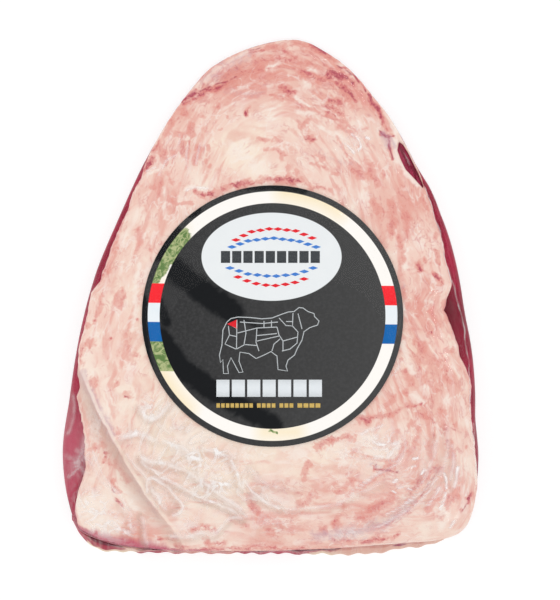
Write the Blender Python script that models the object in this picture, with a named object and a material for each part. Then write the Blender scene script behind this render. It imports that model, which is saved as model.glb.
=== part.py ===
"""Raw picanha, vacuum packed: a beef rump cap lying on its lean side with the fat side up.

The lean muscle is a flat-footed slab, the fat cap lies over it and leaves the lean bare
along parts of the edge, the free end of the bag is folded under the thick end, and a
round label lies on the fat. Lengths are in millimetres and become metres in the meshes.
+X is across the cut, +Y points to its thin tip and +Z is up.
"""

import math

import bmesh
import bpy
from mathutils import Vector

MM = 0.001

# Seen from above: points on the edge of the meat, counter-clockwise from its right side
OUTLINE = (
    (94.4, -53.4), (90.8, -13.3), (87.1, 8.7), (79.3, 36.3), (74.0, 50.1), (66.2, 63.8),
    (49.2, 91.5), (37.2, 105.4), (26.5, 113.4), (15.1, 119.0), (3.5, 119.0), (-16.0, 113.2),
    (-28.7, 105.6), (-41.1, 91.8), (-57.3, 64.0), (-70.0, 36.5), (-81.3, 8.7), (-88.3, -18.9),
    (-92.6, -46.6), (-95.8, -74.2), (-91.3, -101.7), (-88.5, -107.6), (-82.2, -111.3),
    (-69.9, -115.1), (-50.0, -117.1), (-20.0, -117.6), (10.0, -117.2), (38.6, -115.8),
    (60.0, -114.1), (79.8, -111.9), (87.7, -108.5), (92.1, -101.8), (95.8, -77.1),
)
MIDDLE = (1.2, -9.2)

# Height of the whole cut on its centre line, at stations from the thick end to the tip
HEIGHTS = ((-119.0, 37.0), (-72.0, 45.0), (-20.0, 43.5), (45.0, 34.0), (90.0, 26.0), (119.0, 20.0))
EDGE_DROP = 0.36
EDGE_POWER = 4.0

# The fat's share of that height, in the middle and at the rim
FAT_SHARE = 0.27
FAT_SHARE_RIM = 0.17
FAT_ROUNDING = 7.0
FAT_UNDERCUT = 1.0
FAT_INSET = 0.9
GAP = 0.35

# Where the fat stops short and the lean shows: middle of the stretch, half its length, depth
BARE_EDGES = (
    (-75.0, 21.0, 24.0, 2.4),
    (-94.5, -66.0, 27.0, 8.2),
    (-20.0, -117.0, 55.0, 1.0),
    (67.0, 61.0, 13.0, 2.8),
    (83.0, 20.0, 24.0, 2.9),
    (90.7, -14.0, 11.0, 6.2),
)

# The lean is widest at this share of the height and curves in below to its flat foot
WIDEST_SHARE = 0.36
FOOT_INSET = 13.0
FOOT_INSET_THICK_END = 27.0
THICK_END_Y = (-70.0, -110.0)
FOOT_ROUNDNESS = 1.5

# The step in the fat at the lower left, where a thinner flap lies against the main cap
STEP_LINE = (
    (-89.0, -29.0), (-78.4, -52.4), (-71.0, -66.0), (-62.8, -80.0), (-55.0, -92.5),
    (-42.6, -108.6), (-38.0, -118.0),
)
STEP_DROP = 3.0
STEP_WIDTH = 5.0

# Folds of the fat under the film: points along each, height (grooves below zero), half width
FOLDS = (
    (((-40.0, 90.0), (-27.8, 97.1), (-20.9, 98.4), (-11.0, 104.5)), -2.2, 3.5),
    (((-31.0, 101.5), (-8.0, 109.0), (14.0, 111.0)), 1.3, 6.0),
    (((-24.6, 92.5), (-8.5, 93.4), (14.0, 87.4), (32.4, 80.0)), 0.9, 4.0),
    (((52.2, 76.0), (57.3, 60.0)), -1.6, 4.0),
    (((61.9, -66.2), (52.7, -80.0), (36.6, -91.5)), 1.6, 5.0),
    (((42.0, -74.0), (50.0, -80.0)), -2.6, 5.5),
    (((-58.7, -75.9), (-45.3, -84.6), (-31.5, -94.8), (-13.6, -100.7)), 1.3, 4.5),
    (((-32.4, -68.5), (-18.2, -73.1), (-12.7, -89.2)), 1.2, 4.5),
)

LABEL_MIDDLE = (1.0, -8.9)
LABEL_RADIUS = 59.2
LABEL_THICKNESS = 0.5

# The bag's free end: it runs out on the floor from under the cut, turns up at its fold and
# leans on the lean's side. The fold and the upper lip from left to right, and the inner edge
TAIL_EDGE = (
    (-86.5, -112.4), (-79.3, -118.4), (-64.4, -119.4), (-39.5, -119.9), (-4.9, -120.1),
    (22.9, -120.4), (37.0, -120.6), (49.7, -119.8), (60.3, -117.9), (71.0, -116.2), (83.5, -113.8),
)
TAIL_LIP = (
    (-86.5, -109.9), (-79.3, -112.5), (-69.9, -115.1), (-54.5, -116.7), (-32.9, -117.3),
    (-4.8, -117.2), (22.8, -116.6), (38.6, -115.5), (59.8, -113.9), (67.8, -113.1), (83.5, -110.8),
)
TAIL_INNER_Y = -98.5
TAIL_THICKNESS = 1.0
TAIL_HEIGHT = 11.0
TAIL_HEIGHT_ENDS = 2.6
TAIL_ENDS_RUN = 12.0
TAIL_WAVE = 0.8
TAIL_WAVE_LENGTH = 18.5
TAIL_SCALLOP = 0.35
TAIL_SCALLOPS_A_WAVE = 2.3
# Places on its middle line: on the floor, distance inside the fold and share of a wave's height
TAIL_FLOOR = ((7.0, 0.25), (2.2, 0.7))
# and up the side: share of the way in to the lip, share of the height
TAIL_SIDE = ((0.0, 0.12), (0.22, 0.38), (0.58, 0.7), (1.0, 1.0))

# How finely the solids are cut
AROUND = 80
OUTLINE_SAMPLES = 1440
FAT_TOP_RINGS = 16
FAT_TOP_RINGS_REACH = 0.88
FAT_RIM_RINGS = (0.935, 0.968, 0.989)
SEAM_RINGS = (0.0, 0.22, 0.44, 0.66, 0.84, 0.94)
SIDE_STEPS = 4
LABEL_AROUND = 48
LABEL_RINGS = 7
TAIL_STATIONS = 48


def spline(knots, at):
    """A smooth curve through (place, value) knots, held level past its ends."""
    places = [knot[0] for knot in knots]
    values = [knot[1] for knot in knots]
    at = min(max(at, places[0]), places[-1])
    slopes = []
    for i in range(len(knots)):
        before = max(i - 1, 0)
        after = min(i + 1, len(knots) - 1)
        slopes.append((values[after] - values[before]) / (places[after] - places[before]))
    i = max(k for k in range(len(knots) - 1) if places[k] <= at)
    span = places[i + 1] - places[i]
    u = (at - places[i]) / span
    start = values[i] * (1 + 2 * u) * (1 - u) ** 2 + slopes[i] * span * u * (1 - u) ** 2
    end = values[i + 1] * u * u * (3 - 2 * u) + slopes[i + 1] * span * u * u * (u - 1)
    return start + end


def reach_knots():
    """The outline as (angle, distance from the middle), once round and a little over at each end."""
    knots = []
    for x, y in OUTLINE:
        angle = math.atan2(y - MIDDLE[1], x - MIDDLE[0]) % math.tau
        knots.append((angle, math.hypot(x - MIDDLE[0], y - MIDDLE[1])))
    knots.sort()
    before = [(angle - math.tau, reach) for angle, reach in knots[-2:]]
    after = [(angle + math.tau, reach) for angle, reach in knots[:2]]
    return before + knots + after


REACH_KNOTS = reach_knots()


def reach(angle):
    """How far the meat's edge is from the middle at this angle."""
    return spline(REACH_KNOTS, angle % math.tau)


def place(angle, share):
    """The point at this share of the way from the middle to the meat's edge."""
    away = reach(angle) * share
    return MIDDLE[0] + away * math.cos(angle), MIDDLE[1] + away * math.sin(angle)


def even_angles(count):
    """Angles that cut the outline into stretches of about equal length."""
    lengths = [0.0]
    last = place(0.0, 1.0)
    for k in range(1, OUTLINE_SAMPLES + 1):
        point = place(math.tau * k / OUTLINE_SAMPLES, 1.0)
        lengths.append(lengths[-1] + math.dist(last, point))
        last = point
    angles = []
    k = 0
    for i in range(count):
        wanted = lengths[-1] * i / count
        while lengths[k + 1] < wanted:
            k += 1
        part = (wanted - lengths[k]) / (lengths[k + 1] - lengths[k])
        angles.append(math.tau * (k + part) / OUTLINE_SAMPLES)
    return angles


def ramp(value):
    """From 0 to 1 in a smooth S, level outside."""
    value = min(max(value, 0.0), 1.0)
    return value * value * (3 - 2 * value)


def nearest(line, x, y):
    """Distance from a line of points, and whether the point lies to its right, as +1 or -1."""
    best = (math.inf, 1.0)
    for (ax, ay), (bx, by) in zip(line, line[1:]):
        run = ((x - ax) * (bx - ax) + (y - ay) * (by - ay)) / ((bx - ax) ** 2 + (by - ay) ** 2)
        run = min(max(run, 0.0), 1.0)
        away = math.hypot(x - ax - run * (bx - ax), y - ay - run * (by - ay))
        turn = (bx - ax) * (y - ay) - (by - ay) * (x - ax)
        if away < best[0]:
            best = (away, -1.0 if turn > 0 else 1.0)
    return best


def fat_share_of_reach(angle):
    """The fat's rim as a share of the meat's reach: further in where the lean is bare."""
    x, y = place(angle, 1.0)
    inset = FAT_INSET
    for middle_x, middle_y, half_length, depth in BARE_EDGES:
        inset += depth * math.exp(-((math.hypot(x - middle_x, y - middle_y) / half_length) ** 4))
    return 1.0 - inset / reach(angle)


def dome(y, share):
    """Height of the smooth upper face, before folds and the rounding of the rim."""
    return spline(HEIGHTS, y) * (1.0 - EDGE_DROP * share**EDGE_POWER)


def seam(y, share):
    """Height of the lean's upper face, where the fat lies on it."""
    fat = FAT_SHARE + (FAT_SHARE_RIM - FAT_SHARE) * share**2
    return dome(y, share) - fat * spline(HEIGHTS, y)


def relief(x, y):
    """The step and the folds in the fat."""
    away, side = nearest(STEP_LINE, x, y)
    height = -STEP_DROP * ramp(side * away / STEP_WIDTH)
    for line, fold, half_width in FOLDS:
        height += fold * math.exp(-((nearest(line, x, y)[0] / half_width) ** 2))
    return height


def fat_top(angle, share):
    """Height of the fat's upper face at a share of the meat's reach."""
    x, y = place(angle, share)
    rim = fat_share_of_reach(angle)
    inwards = max(rim - share, 0.0) * reach(angle)
    rounding = math.sqrt(1.0 - max(1.0 - inwards / FAT_ROUNDING, 0.0) ** 2)
    low = seam(y, share) + GAP
    full = dome(y, share) + relief(x, y) * ramp(inwards / FAT_ROUNDING)
    return low + (full - low) * (0.5 + 0.5 * rounding)


def ring(angles, shares, heights):
    """One closed row of points, from a share of the reach and a height at each angle."""
    return [(*place(angle, share), height) for angle, share, height in zip(angles, shares, heights)]


def seam_rings(angles, lift):
    """Rings over the seam, from the middle out to the fat's lower rim."""
    rings = []
    for part in (*SEAM_RINGS, 1.0):
        shares = [part * (fat_share_of_reach(a) - FAT_UNDERCUT / reach(a)) for a in angles]
        heights = [seam(place(a, s)[1], s) + lift for a, s in zip(angles, shares)]
        rings.append(ring(angles, shares, heights) if part else [(*MIDDLE, heights[0])])
    return rings


def lean_rings(angles):
    """From the middle of the seam, over the shoulder and down the bulging side to the foot."""
    rings = seam_rings(angles, 0.0)
    tops = [point[2] for point in rings[-1]]
    starts = [fat_share_of_reach(a) - FAT_UNDERCUT / reach(a) for a in angles]
    widest = [WIDEST_SHARE * spline(HEIGHTS, place(a, 1.0)[1]) for a in angles]
    for step in range(1, SIDE_STEPS):
        turn = 0.5 * math.pi * step / (SIDE_STEPS - 1)
        shares = [s + (1.0 - s) * math.sin(turn) for s in starts]
        heights = [w + (t - w) * math.cos(turn) for t, w in zip(tops, widest)]
        rings.append(ring(angles, shares, heights))
    for step in range(1, SIDE_STEPS + 1):
        turn = 0.5 * math.pi * step / SIDE_STEPS
        inwards = 1.0 - max(math.cos(turn), 0.0) ** (2 / FOOT_ROUNDNESS)
        drop = 1.0 - math.sin(turn) ** (2 / FOOT_ROUNDNESS)
        shares = []
        for angle in angles:
            thick_end = ramp((place(angle, 1.0)[1] - THICK_END_Y[0]) / (THICK_END_Y[1] - THICK_END_Y[0]))
            foot = FOOT_INSET + (FOOT_INSET_THICK_END - FOOT_INSET) * thick_end
            shares.append(1.0 - foot * inwards / reach(angle))
        rings.append(ring(angles, shares, [w * drop for w in widest]))
    return rings


def fat_rings(angles):
    """From the middle of the seam out to the rim, round it and back over the top."""
    rings = seam_rings(angles, GAP)
    parts = [(k + 1) * FAT_TOP_RINGS_REACH / FAT_TOP_RINGS for k in range(FAT_TOP_RINGS)]
    for part in (1.0, *reversed(FAT_RIM_RINGS), *reversed(parts)):
        shares = [part * fat_share_of_reach(a) for a in angles]
        heights = [fat_top(a, s) for a, s in zip(angles, shares)]
        rings.append(ring(angles, shares, heights))
    rings.append([(*MIDDLE, fat_top(0.0, 0.0))])
    return rings


def label_rings():
    """The round label: its lower face out from the middle, then its upper face back in."""
    lower = []
    for k in range(LABEL_RINGS + 1):
        row = []
        for i in range(LABEL_AROUND if k else 1):
            turn = math.tau * i / LABEL_AROUND
            radius = LABEL_RADIUS * k / LABEL_RINGS
            x = LABEL_MIDDLE[0] + radius * math.cos(turn)
            y = LABEL_MIDDLE[1] + radius * math.sin(turn)
            angle = math.atan2(y - MIDDLE[1], x - MIDDLE[0])
            share = math.hypot(x - MIDDLE[0], y - MIDDLE[1]) / reach(angle)
            row.append((x, y, fat_top(angle, share) + GAP))
        lower.append(row)
    upper = [[(x, y, z + LABEL_THICKNESS) for x, y, z in row] for row in reversed(lower)]
    return lower + upper


def tail_line(x):
    """The folded end's middle line at x: out along the floor, round the fold and up to its lip."""
    left, right = TAIL_EDGE[0][0], TAIL_EDGE[-1][0]
    phase = math.tau * x / TAIL_WAVE_LENGTH
    wave = TAIL_WAVE * (0.5 + 0.5 * math.sin(phase))
    half = TAIL_THICKNESS / 2
    outer = spline(TAIL_EDGE, x) + TAIL_SCALLOP * (1.0 + math.cos(TAIL_SCALLOPS_A_WAVE * phase)) + half
    lip = spline(TAIL_LIP, x)
    ends = ramp((x - left) / TAIL_ENDS_RUN) * ramp((right - x) / TAIL_ENDS_RUN)
    height = TAIL_HEIGHT_ENDS + (TAIL_HEIGHT - TAIL_HEIGHT_ENDS) * ends - half
    line = [(TAIL_INNER_Y, half)]
    for inside, lifted in TAIL_FLOOR:
        line.append((outer + inside, half + wave * lifted))
    for inwards, upwards in TAIL_SIDE:
        bulge = wave * math.sin(math.pi * upwards)
        line.append((outer + (lip - outer) * inwards + bulge, half + height * upwards))
    return line


def tail_rings():
    """Sections of the folded bag end, from left to right."""
    rings = []
    left, right = TAIL_EDGE[0][0], TAIL_EDGE[-1][0]
    for k in range(TAIL_STATIONS + 1):
        x = left + (right - left) * k / TAIL_STATIONS
        line = tail_line(x)
        near, far = [], []
        for i, (y, z) in enumerate(line):
            before, after = line[max(i - 1, 0)], line[min(i + 1, len(line) - 1)]
            run, rise = after[0] - before[0], after[1] - before[1]
            scale = TAIL_THICKNESS / 2 / math.hypot(run, rise)
            near.append((x, y + rise * scale, z - run * scale))
            far.append((x, y - rise * scale, z + run * scale))
        rings.append(near + far[::-1])
    return rings


def loft(name, rings, collection, material):
    """One closed mesh through rows of points. A row of one point is a pole, and a longer end row,
    out along one side and back along the other, is filled across.
    """
    shape = bmesh.new()
    rows = [[shape.verts.new(Vector(point) * MM) for point in row] for row in rings]
    for near, far in zip(rows, rows[1:]):
        count = max(len(near), len(far))
        for i in range(count):
            j = (i + 1) % count
            near_i, near_j = near[i % len(near)], near[j % len(near)]
            far_i, far_j = far[i % len(far)], far[j % len(far)]
            if near_i is not near_j:
                shape.faces.new((near_i, near_j, far_j))
            if far_i is not far_j:
                shape.faces.new((near_i, far_j, far_i))
    for row in (rows[0], rows[-1]):
        for i in range(len(row) // 2 - 1):
            shape.faces.new((row[i], row[i + 1], row[-2 - i], row[-1 - i]))
    bmesh.ops.recalc_face_normals(shape, faces=shape.faces)
    mesh = bpy.data.meshes.new(name)
    shape.to_mesh(mesh)
    shape.free()
    mesh.shade_smooth()
    mesh.materials.append(material)
    piece = bpy.data.objects.new(name, mesh)
    collection.objects.link(piece)
    return piece


def finish(name, colour, roughness):
    """A Principled material; none of the pieces is metal."""
    material = bpy.data.materials.new(name)
    material.use_nodes = True
    surface = material.node_tree.nodes["Principled BSDF"]
    surface.inputs["Base Color"].default_value = (*colour, 1.0)
    surface.inputs["Roughness"].default_value = roughness
    surface.inputs["Metallic"].default_value = 0.0
    return material


def clear_scene():
    for old in list(bpy.data.objects):
        bpy.data.objects.remove(old, do_unlink=True)


def build():
    clear_scene()
    picanha = bpy.data.collections.new("raw_picanha")
    bpy.context.scene.collection.children.link(picanha)
    angles = even_angles(AROUND)
    loft("lean_muscle", lean_rings(angles), picanha, finish("lean beef", (0.33, 0.03, 0.07), 0.45))
    loft("fat_cap", fat_rings(angles), picanha, finish("beef fat", (0.86, 0.70, 0.62), 0.4))
    loft("vacuum_bag", tail_rings(), picanha, finish("bag film", (0.72, 0.66, 0.58), 0.2))
    loft("label", label_rings(), picanha, finish("label sheet", (0.04, 0.04, 0.04), 0.3))


build()
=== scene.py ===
"""Raw picanha in its vacuum bag: fat, lean, clinging film, folded bag end and round label.

Lengths are in millimetres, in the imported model's frame, and become metres in the meshes.
Marks, folds and creases are placed in pixels of the view from above; seen() turns a pixel
into millimetres on the fat.
"""

import itertools
import math

import bpy
import numpy as np
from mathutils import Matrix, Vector


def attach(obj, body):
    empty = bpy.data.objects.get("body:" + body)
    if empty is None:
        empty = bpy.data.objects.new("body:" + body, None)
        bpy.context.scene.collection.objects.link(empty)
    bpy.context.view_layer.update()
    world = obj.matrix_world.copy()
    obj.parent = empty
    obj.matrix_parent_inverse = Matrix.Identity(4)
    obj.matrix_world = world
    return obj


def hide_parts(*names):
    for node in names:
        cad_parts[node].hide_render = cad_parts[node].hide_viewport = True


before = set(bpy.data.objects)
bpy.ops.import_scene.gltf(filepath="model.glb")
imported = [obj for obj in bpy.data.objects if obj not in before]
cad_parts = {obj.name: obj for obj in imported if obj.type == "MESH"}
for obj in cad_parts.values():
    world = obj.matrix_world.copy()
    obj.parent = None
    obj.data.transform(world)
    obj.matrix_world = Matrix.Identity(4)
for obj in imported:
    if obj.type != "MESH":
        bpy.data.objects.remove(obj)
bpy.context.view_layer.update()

MM = 0.001

# The cut's form, as in the CAD source
OUTLINE = (
    (94.4, -53.4), (90.8, -13.3), (87.1, 8.7), (79.3, 36.3), (74, 50.1), (66.2, 63.8), (49.2, 91.5),
    (37.2, 105.4), (26.5, 113.4), (15.1, 119), (3.5, 119), (-16, 113.2), (-28.7, 105.6), (-41.1, 91.8),
    (-57.3, 64), (-70, 36.5), (-81.3, 8.7), (-88.3, -18.9), (-92.6, -46.6), (-95.8, -74.2), (-91.3, -101.7),
    (-88.5, -107.6), (-82.2, -111.3), (-69.9, -115.1), (-50, -117.1), (-20, -117.6), (10, -117.2),
    (38.6, -115.8), (60, -114.1), (79.8, -111.9), (87.7, -108.5), (92.1, -101.8), (95.8, -77.1),
)
MIDDLE = (1.2, -9.2)
HEIGHTS = ((-119, 37), (-72, 45), (-20, 43.5), (45, 34), (90, 26), (119, 20))
EDGE_DROP = 0.36
EDGE_POWER = 4.0
FAT_SHARE = 0.27
FAT_SHARE_RIM = 0.17
FAT_ROUNDING = 7.0
FAT_UNDERCUT = 1.0
WIDEST_SHARE = 0.36
FOOT_INSET = 13.0
FOOT_INSET_THICK_END = 27.0
THICK_END_Y = (-70.0, -110.0)
FOOT_ROUNDNESS = 1.5
STEP_LINE = (
    (-89, -29), (-78.4, -52.4), (-71, -66), (-62.8, -80), (-55, -92.5), (-42.6, -108.6), (-38, -118),
)
STEP_DROP = 3.0
STEP_WIDTH = 3.6
FOLDS = (
    (((-40, 90), (-27.8, 97.1), (-20.9, 98.4), (-11, 104.5)), -2.2, 3),
    (((-31, 101.5), (-8, 109), (14, 111)), 1.3, 6),
    (((-24.6, 92.5), (-8.5, 93.4), (14, 87.4), (32.4, 80)), 0.9, 4), (((52.2, 76), (57.3, 60)), -1.6, 4),
    (((61.9, -66.2), (52.7, -80), (36.6, -91.5)), 1.6, 5), (((42, -74), (50, -80)), -2.6, 5.5),
    (((-58.7, -75.9), (-45.3, -84.6), (-31.5, -94.8), (-13.6, -100.7)), 1.3, 4.5),
    (((-32.4, -68.5), (-18.2, -73.1), (-12.7, -89.2)), 1.2, 4.5),
)
LABEL_MIDDLE = (1.0, -8.9)
LABEL_RADIUS = 59.2
LABEL_THICKNESS = 0.5
LABEL_GAP = 0.35
TAIL_EDGE = (
    (-92.4, -107.6), (-86.5, -113.6), (-79.3, -118.4), (-64.4, -119.4), (-39.5, -119.9), (-4.9, -120.1),
    (22.9, -120.4), (37, -120.6), (49.7, -119.8), (60.3, -117.9), (71, -116.6), (84, -113.4),
)
TAIL_LIP = (
    (-92.4, -105.2), (-86.5, -109.9), (-79.3, -112.5), (-69.9, -115.1), (-54.5, -116.7), (-32.9, -117.3),
    (-4.8, -117.2), (22.8, -116.6), (38.6, -115.5), (59.8, -113.9), (67.8, -113.1), (84, -110.4),
)
TAIL_INNER_Y = -98.5
TAIL_THICKNESS = 1.0
TAIL_HEIGHT = 11.0
TAIL_HEIGHT_ENDS = 2.6
TAIL_ENDS_RUN = 12.0
TAIL_WAVE = 0.8
TAIL_WAVE_LENGTH = 18.5
TAIL_SCALLOP = 0.35
TAIL_SCALLOPS_A_WAVE = 2.3
TAIL_FLOOR = ((7, 0.25), (2.2, 0.7))
TAIL_SIDE = ((0, 0.12), (0.22, 0.38), (0.58, 0.7), (1, 1))

# What the dressing adds: gaps between the layers, the folded end's tuck, the print
FAT_LOWERED = 0.15
LEAN_LOWEST = 0.6
FILM_GAP = 0.12
TAIL_HALF = 0.34
TUCK = 3.4
TUCK_RUN = 5.0
PRINT_THICKNESS = 0.06
SHEET_THICKNESS = LABEL_THICKNESS - PRINT_THICKNESS
PRINT_SUNK = 0.005
PRINT_STEP = 6.0

# How far the fat's torn and trimmed rim lies inside the outline: degrees round the middle, distance
RIM_INSETS = (
    (0, 9.6), (1.9, 10.6), (4.3, 9), (6.2, 7.7), (8.7, 5.6), (11.8, 4.8), (19.3, 5), (25.5, 4.3),
    (30.7, 3.9), (35.6, 3.4), (40, 3), (43, 2), (46, 1.4), (60, 1.2), (66, 1.5), (104, 1.4), (112, 1.8),
    (120, 1.7), (126, 1), (131, 1.6), (133.6, 2.9), (138.6, 1.8), (142.6, 2.8), (148.1, 2.8), (152.9, 3.3),
    (158.5, 3), (163.1, 3.6), (168.9, 3.5), (172.8, 1.4), (178.5, 2.3), (183.6, 2.6), (188.5, 1.9),
    (192.1, 2.1), (196.6, 3.6), (199.3, 5), (202.2, 5), (204.3, 6.4), (207.9, 9.6), (210.4, 12.2),
    (212.8, 13.4), (216.4, 13.3), (219, 13.2), (220.7, 10.7), (222, 7.1), (223.2, 5), (224.5, 3.4),
    (226, 2.5), (228.1, 1.3), (231, 1.6), (236.1, 1.4), (242, 0.9), (252.5, 0.8), (267, 0.7), (281, 0.8),
    (300, 0.9), (311, 0.6), (320.1, 0.5), (321.6, 1.1), (323.7, 2.1), (325.7, 2.8), (330.3, 3.3),
    (337.7, 3.4), (342.1, 3), (344.8, 5.1), (347.7, 7), (351.5, 7.7), (355.5, 7.7), (358.6, 9), (360, 9.6),
)
RIM_RAGGEDNESS = 0.35
# How far the lean stays inside the film, which stands clear of the meat round the thin tip
LEAN_INSETS = (
    (0, 0.3), (35, 0.3), (42, 0.8), (58, 0.8), (66, 1.2), (104, 1.1), (112, 1.5), (120, 1.4), (126, 0.5),
    (132, 0.3), (360, 0.3),
)

# The view from above: how far a pixel reaches in the plane of the outline, and the camera's place
PIXEL = 0.46
FRAME_MIDDLE = (280.0, 300.0)
CAMERA_AT = (4.37, -1.84, 1549.0)
OUTLINE_HEIGHT = 16.0

# Points round each ring, the circle under the label that needs few rings, and the rings outside it
AROUND = 960
COVERED_RADIUS = 56.0
OPEN_ROWS = 84
# The rings on the fat's lower face, as parts of the way out, and the radius for unrolled places
UNDER_PARTS = (1.0, 0.9, 0.6, 0.3)
UNROLLED_RADIUS = 104.0
# What a colour attribute says at a pole where there is nothing
NOTHING = [0] * 4
# Half the floor's width, in metres
FLOOR_HALF = 3.0

# Marks on the fat, read off the view from above: strength, half width, then the points.
# Crimson: blood and lean showing through thin fat.
CRIMSON = (
    (1, 2.6, 182.5, 101, 188, 96, 194, 93), (0.9, 1.8, 184, 104, 191, 99.5, 199, 95, 206, 92),
    (0.85, 2.6, 199, 94.5, 207, 89.5, 220, 85, 228, 81.5), (0.7, 0.9, 235, 67.5, 239, 70.5),
    (0.62, 2, 249, 49, 253, 57), (0.7, 1.6, 252, 50, 264, 48), (0.66, 3, 282, 50, 288, 54, 295, 57),
    (1, 2.8, 313, 44, 320, 48, 327, 53), (0.75, 1.8, 327, 53, 334, 60),
    (1, 3.4, 329, 72, 337, 74, 345, 79, 352, 84), (0.8, 3, 301, 72, 312, 76, 322, 79, 330, 77),
    (1, 1.6, 337, 67, 345, 69, 353, 74, 358, 81), (0.9, 2.4, 337, 83, 345, 89, 351, 95, 356, 101),
    (1, 2.8, 369, 95, 373, 103, 377, 112), (0.95, 2.6, 375, 108, 380, 118, 384, 125),
    (0.6, 2.4, 362, 84, 366, 92), (1, 1.3, 381, 133, 386, 138, 392, 136.5),
    (0.9, 1.3, 387, 142, 391, 152, 393, 158), (0.7, 2.2, 386, 126, 389, 131), (0.85, 3, 331, 100, 338, 103),
    (0.7, 2.6, 324, 104, 332, 109, 341, 112), (0.7, 2.2, 326, 112, 334, 116),
    (0.75, 2.8, 306, 137, 311, 138), (1.2, 1.6, 246.5, 112, 247, 114.5), (0.5, 1, 247, 112, 249, 104),
    (0.7, 2, 221, 130), (0.62, 1.8, 228, 119.5), (0.7, 2.4, 204, 114.5),
    (0.7, 2.6, 282, 88, 288, 92, 294, 94), (0.5, 2.6, 262, 60, 276, 57, 290, 60),
    (0.5, 2.2, 240, 73, 256, 70, 270, 66), (0.5, 2.2, 296, 62, 312, 64, 326, 70),
    (1, 3.2, 147, 163, 151, 158), (0.95, 2.2, 146, 166, 141, 174, 135, 185), (0.6, 2, 152, 150, 160, 140),
    (0.8, 3, 197, 191, 204, 193, 212, 194), (0.75, 3, 210, 192, 219, 189.5, 236, 186),
    (0.75, 3.2, 236, 185, 252, 181.5, 268, 179, 287, 179.5, 300, 182),
    (0.6, 2.4, 300, 182, 316, 187, 330, 193), (0.5, 2.6, 126, 208, 124, 218, 121, 228),
    (0.7, 2.8, 104, 270, 99, 281), (0.5, 3, 118, 236, 112, 250), (0.7, 1.8, 94, 322), (0.66, 2.2, 87, 325),
    (0.8, 1.4, 111, 337.5), (0.66, 1.4, 135.5, 320.5), (0.55, 2.4, 84, 345, 82, 362),
    (0.85, 2.4, 418, 267.5, 420, 271), (0.75, 2.4, 434, 273, 441, 281), (0.7, 2.4, 428, 261),
    (0.6, 2, 436, 250, 440, 262), (0.75, 2.2, 441, 323), (0.7, 2.2, 431, 334), (0.75, 1.8, 425, 244),
    (0.6, 2, 446, 370, 452, 384), (0.6, 2.6, 359, 423, 369.5, 418, 380, 415.5, 394, 413.5, 400.5, 409),
    (0.7, 2.2, 407, 407.5, 421, 403.5), (0.8, 2.8, 359, 420, 368, 423), (0.66, 2.4, 398, 430.5),
    (0.75, 2.4, 418, 430.5), (0.6, 2.6, 330, 440, 342, 438, 354, 436),
    (0.95, 0.8, 376.4, 466, 376.4, 471.5), (0.9, 0.8, 377.5, 469.2, 389, 471, 398, 471.5),
    (0.75, 0.8, 432, 418, 433, 427, 434, 436), (0.8, 0.7, 446.5, 442.7), (0.7, 0.8, 465, 446),
    (0.72, 3.4, 413, 492, 420, 482, 426, 475, 438.6, 469),
    (0.5, 3.4, 361.5, 519, 368, 514, 380, 506, 394, 495),
    (0.7, 1.4, 374, 530, 388, 523, 400.5, 515.7, 413, 506, 424, 496), (0.7, 3.6, 336, 525),
    (0.66, 3.4, 323.5, 532), (0.66, 2, 331.5, 539.5, 345, 540.5, 360, 541, 372, 540, 384, 539),
    (0.6, 1.8, 384.5, 540, 396, 536), (0.75, 1.4, 461.5, 511), (1, 1.4, 471.8, 492.7, 469, 498, 466, 505),
    (0.66, 1.6, 103.5, 453, 105, 462), (0.7, 0.9, 103.8, 454.5), (0.66, 1.4, 112, 482, 116, 488, 120, 494),
    (0.75, 1, 113.2, 490.6), (0.75, 1.2, 117, 500, 122.6, 506.5), (0.7, 0.8, 129.3, 485.3),
    (0.5, 1.8, 100, 440, 106, 452, 112, 468), (0.75, 1, 126.6, 397),
    (0.75, 2.8, 176, 547, 198, 549, 224, 548, 262, 548), (0.62, 2.4, 193.6, 528, 216, 529.5),
    (0.6, 1.8, 204, 541, 224, 542), (0.6, 2, 262, 549, 296, 549, 330, 548), (0.6, 2, 160, 540, 176, 538),
    (0.5, 2, 246, 506, 256, 514, 268, 520), (0.55, 2.4, 232, 520, 246, 526),
)
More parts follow.
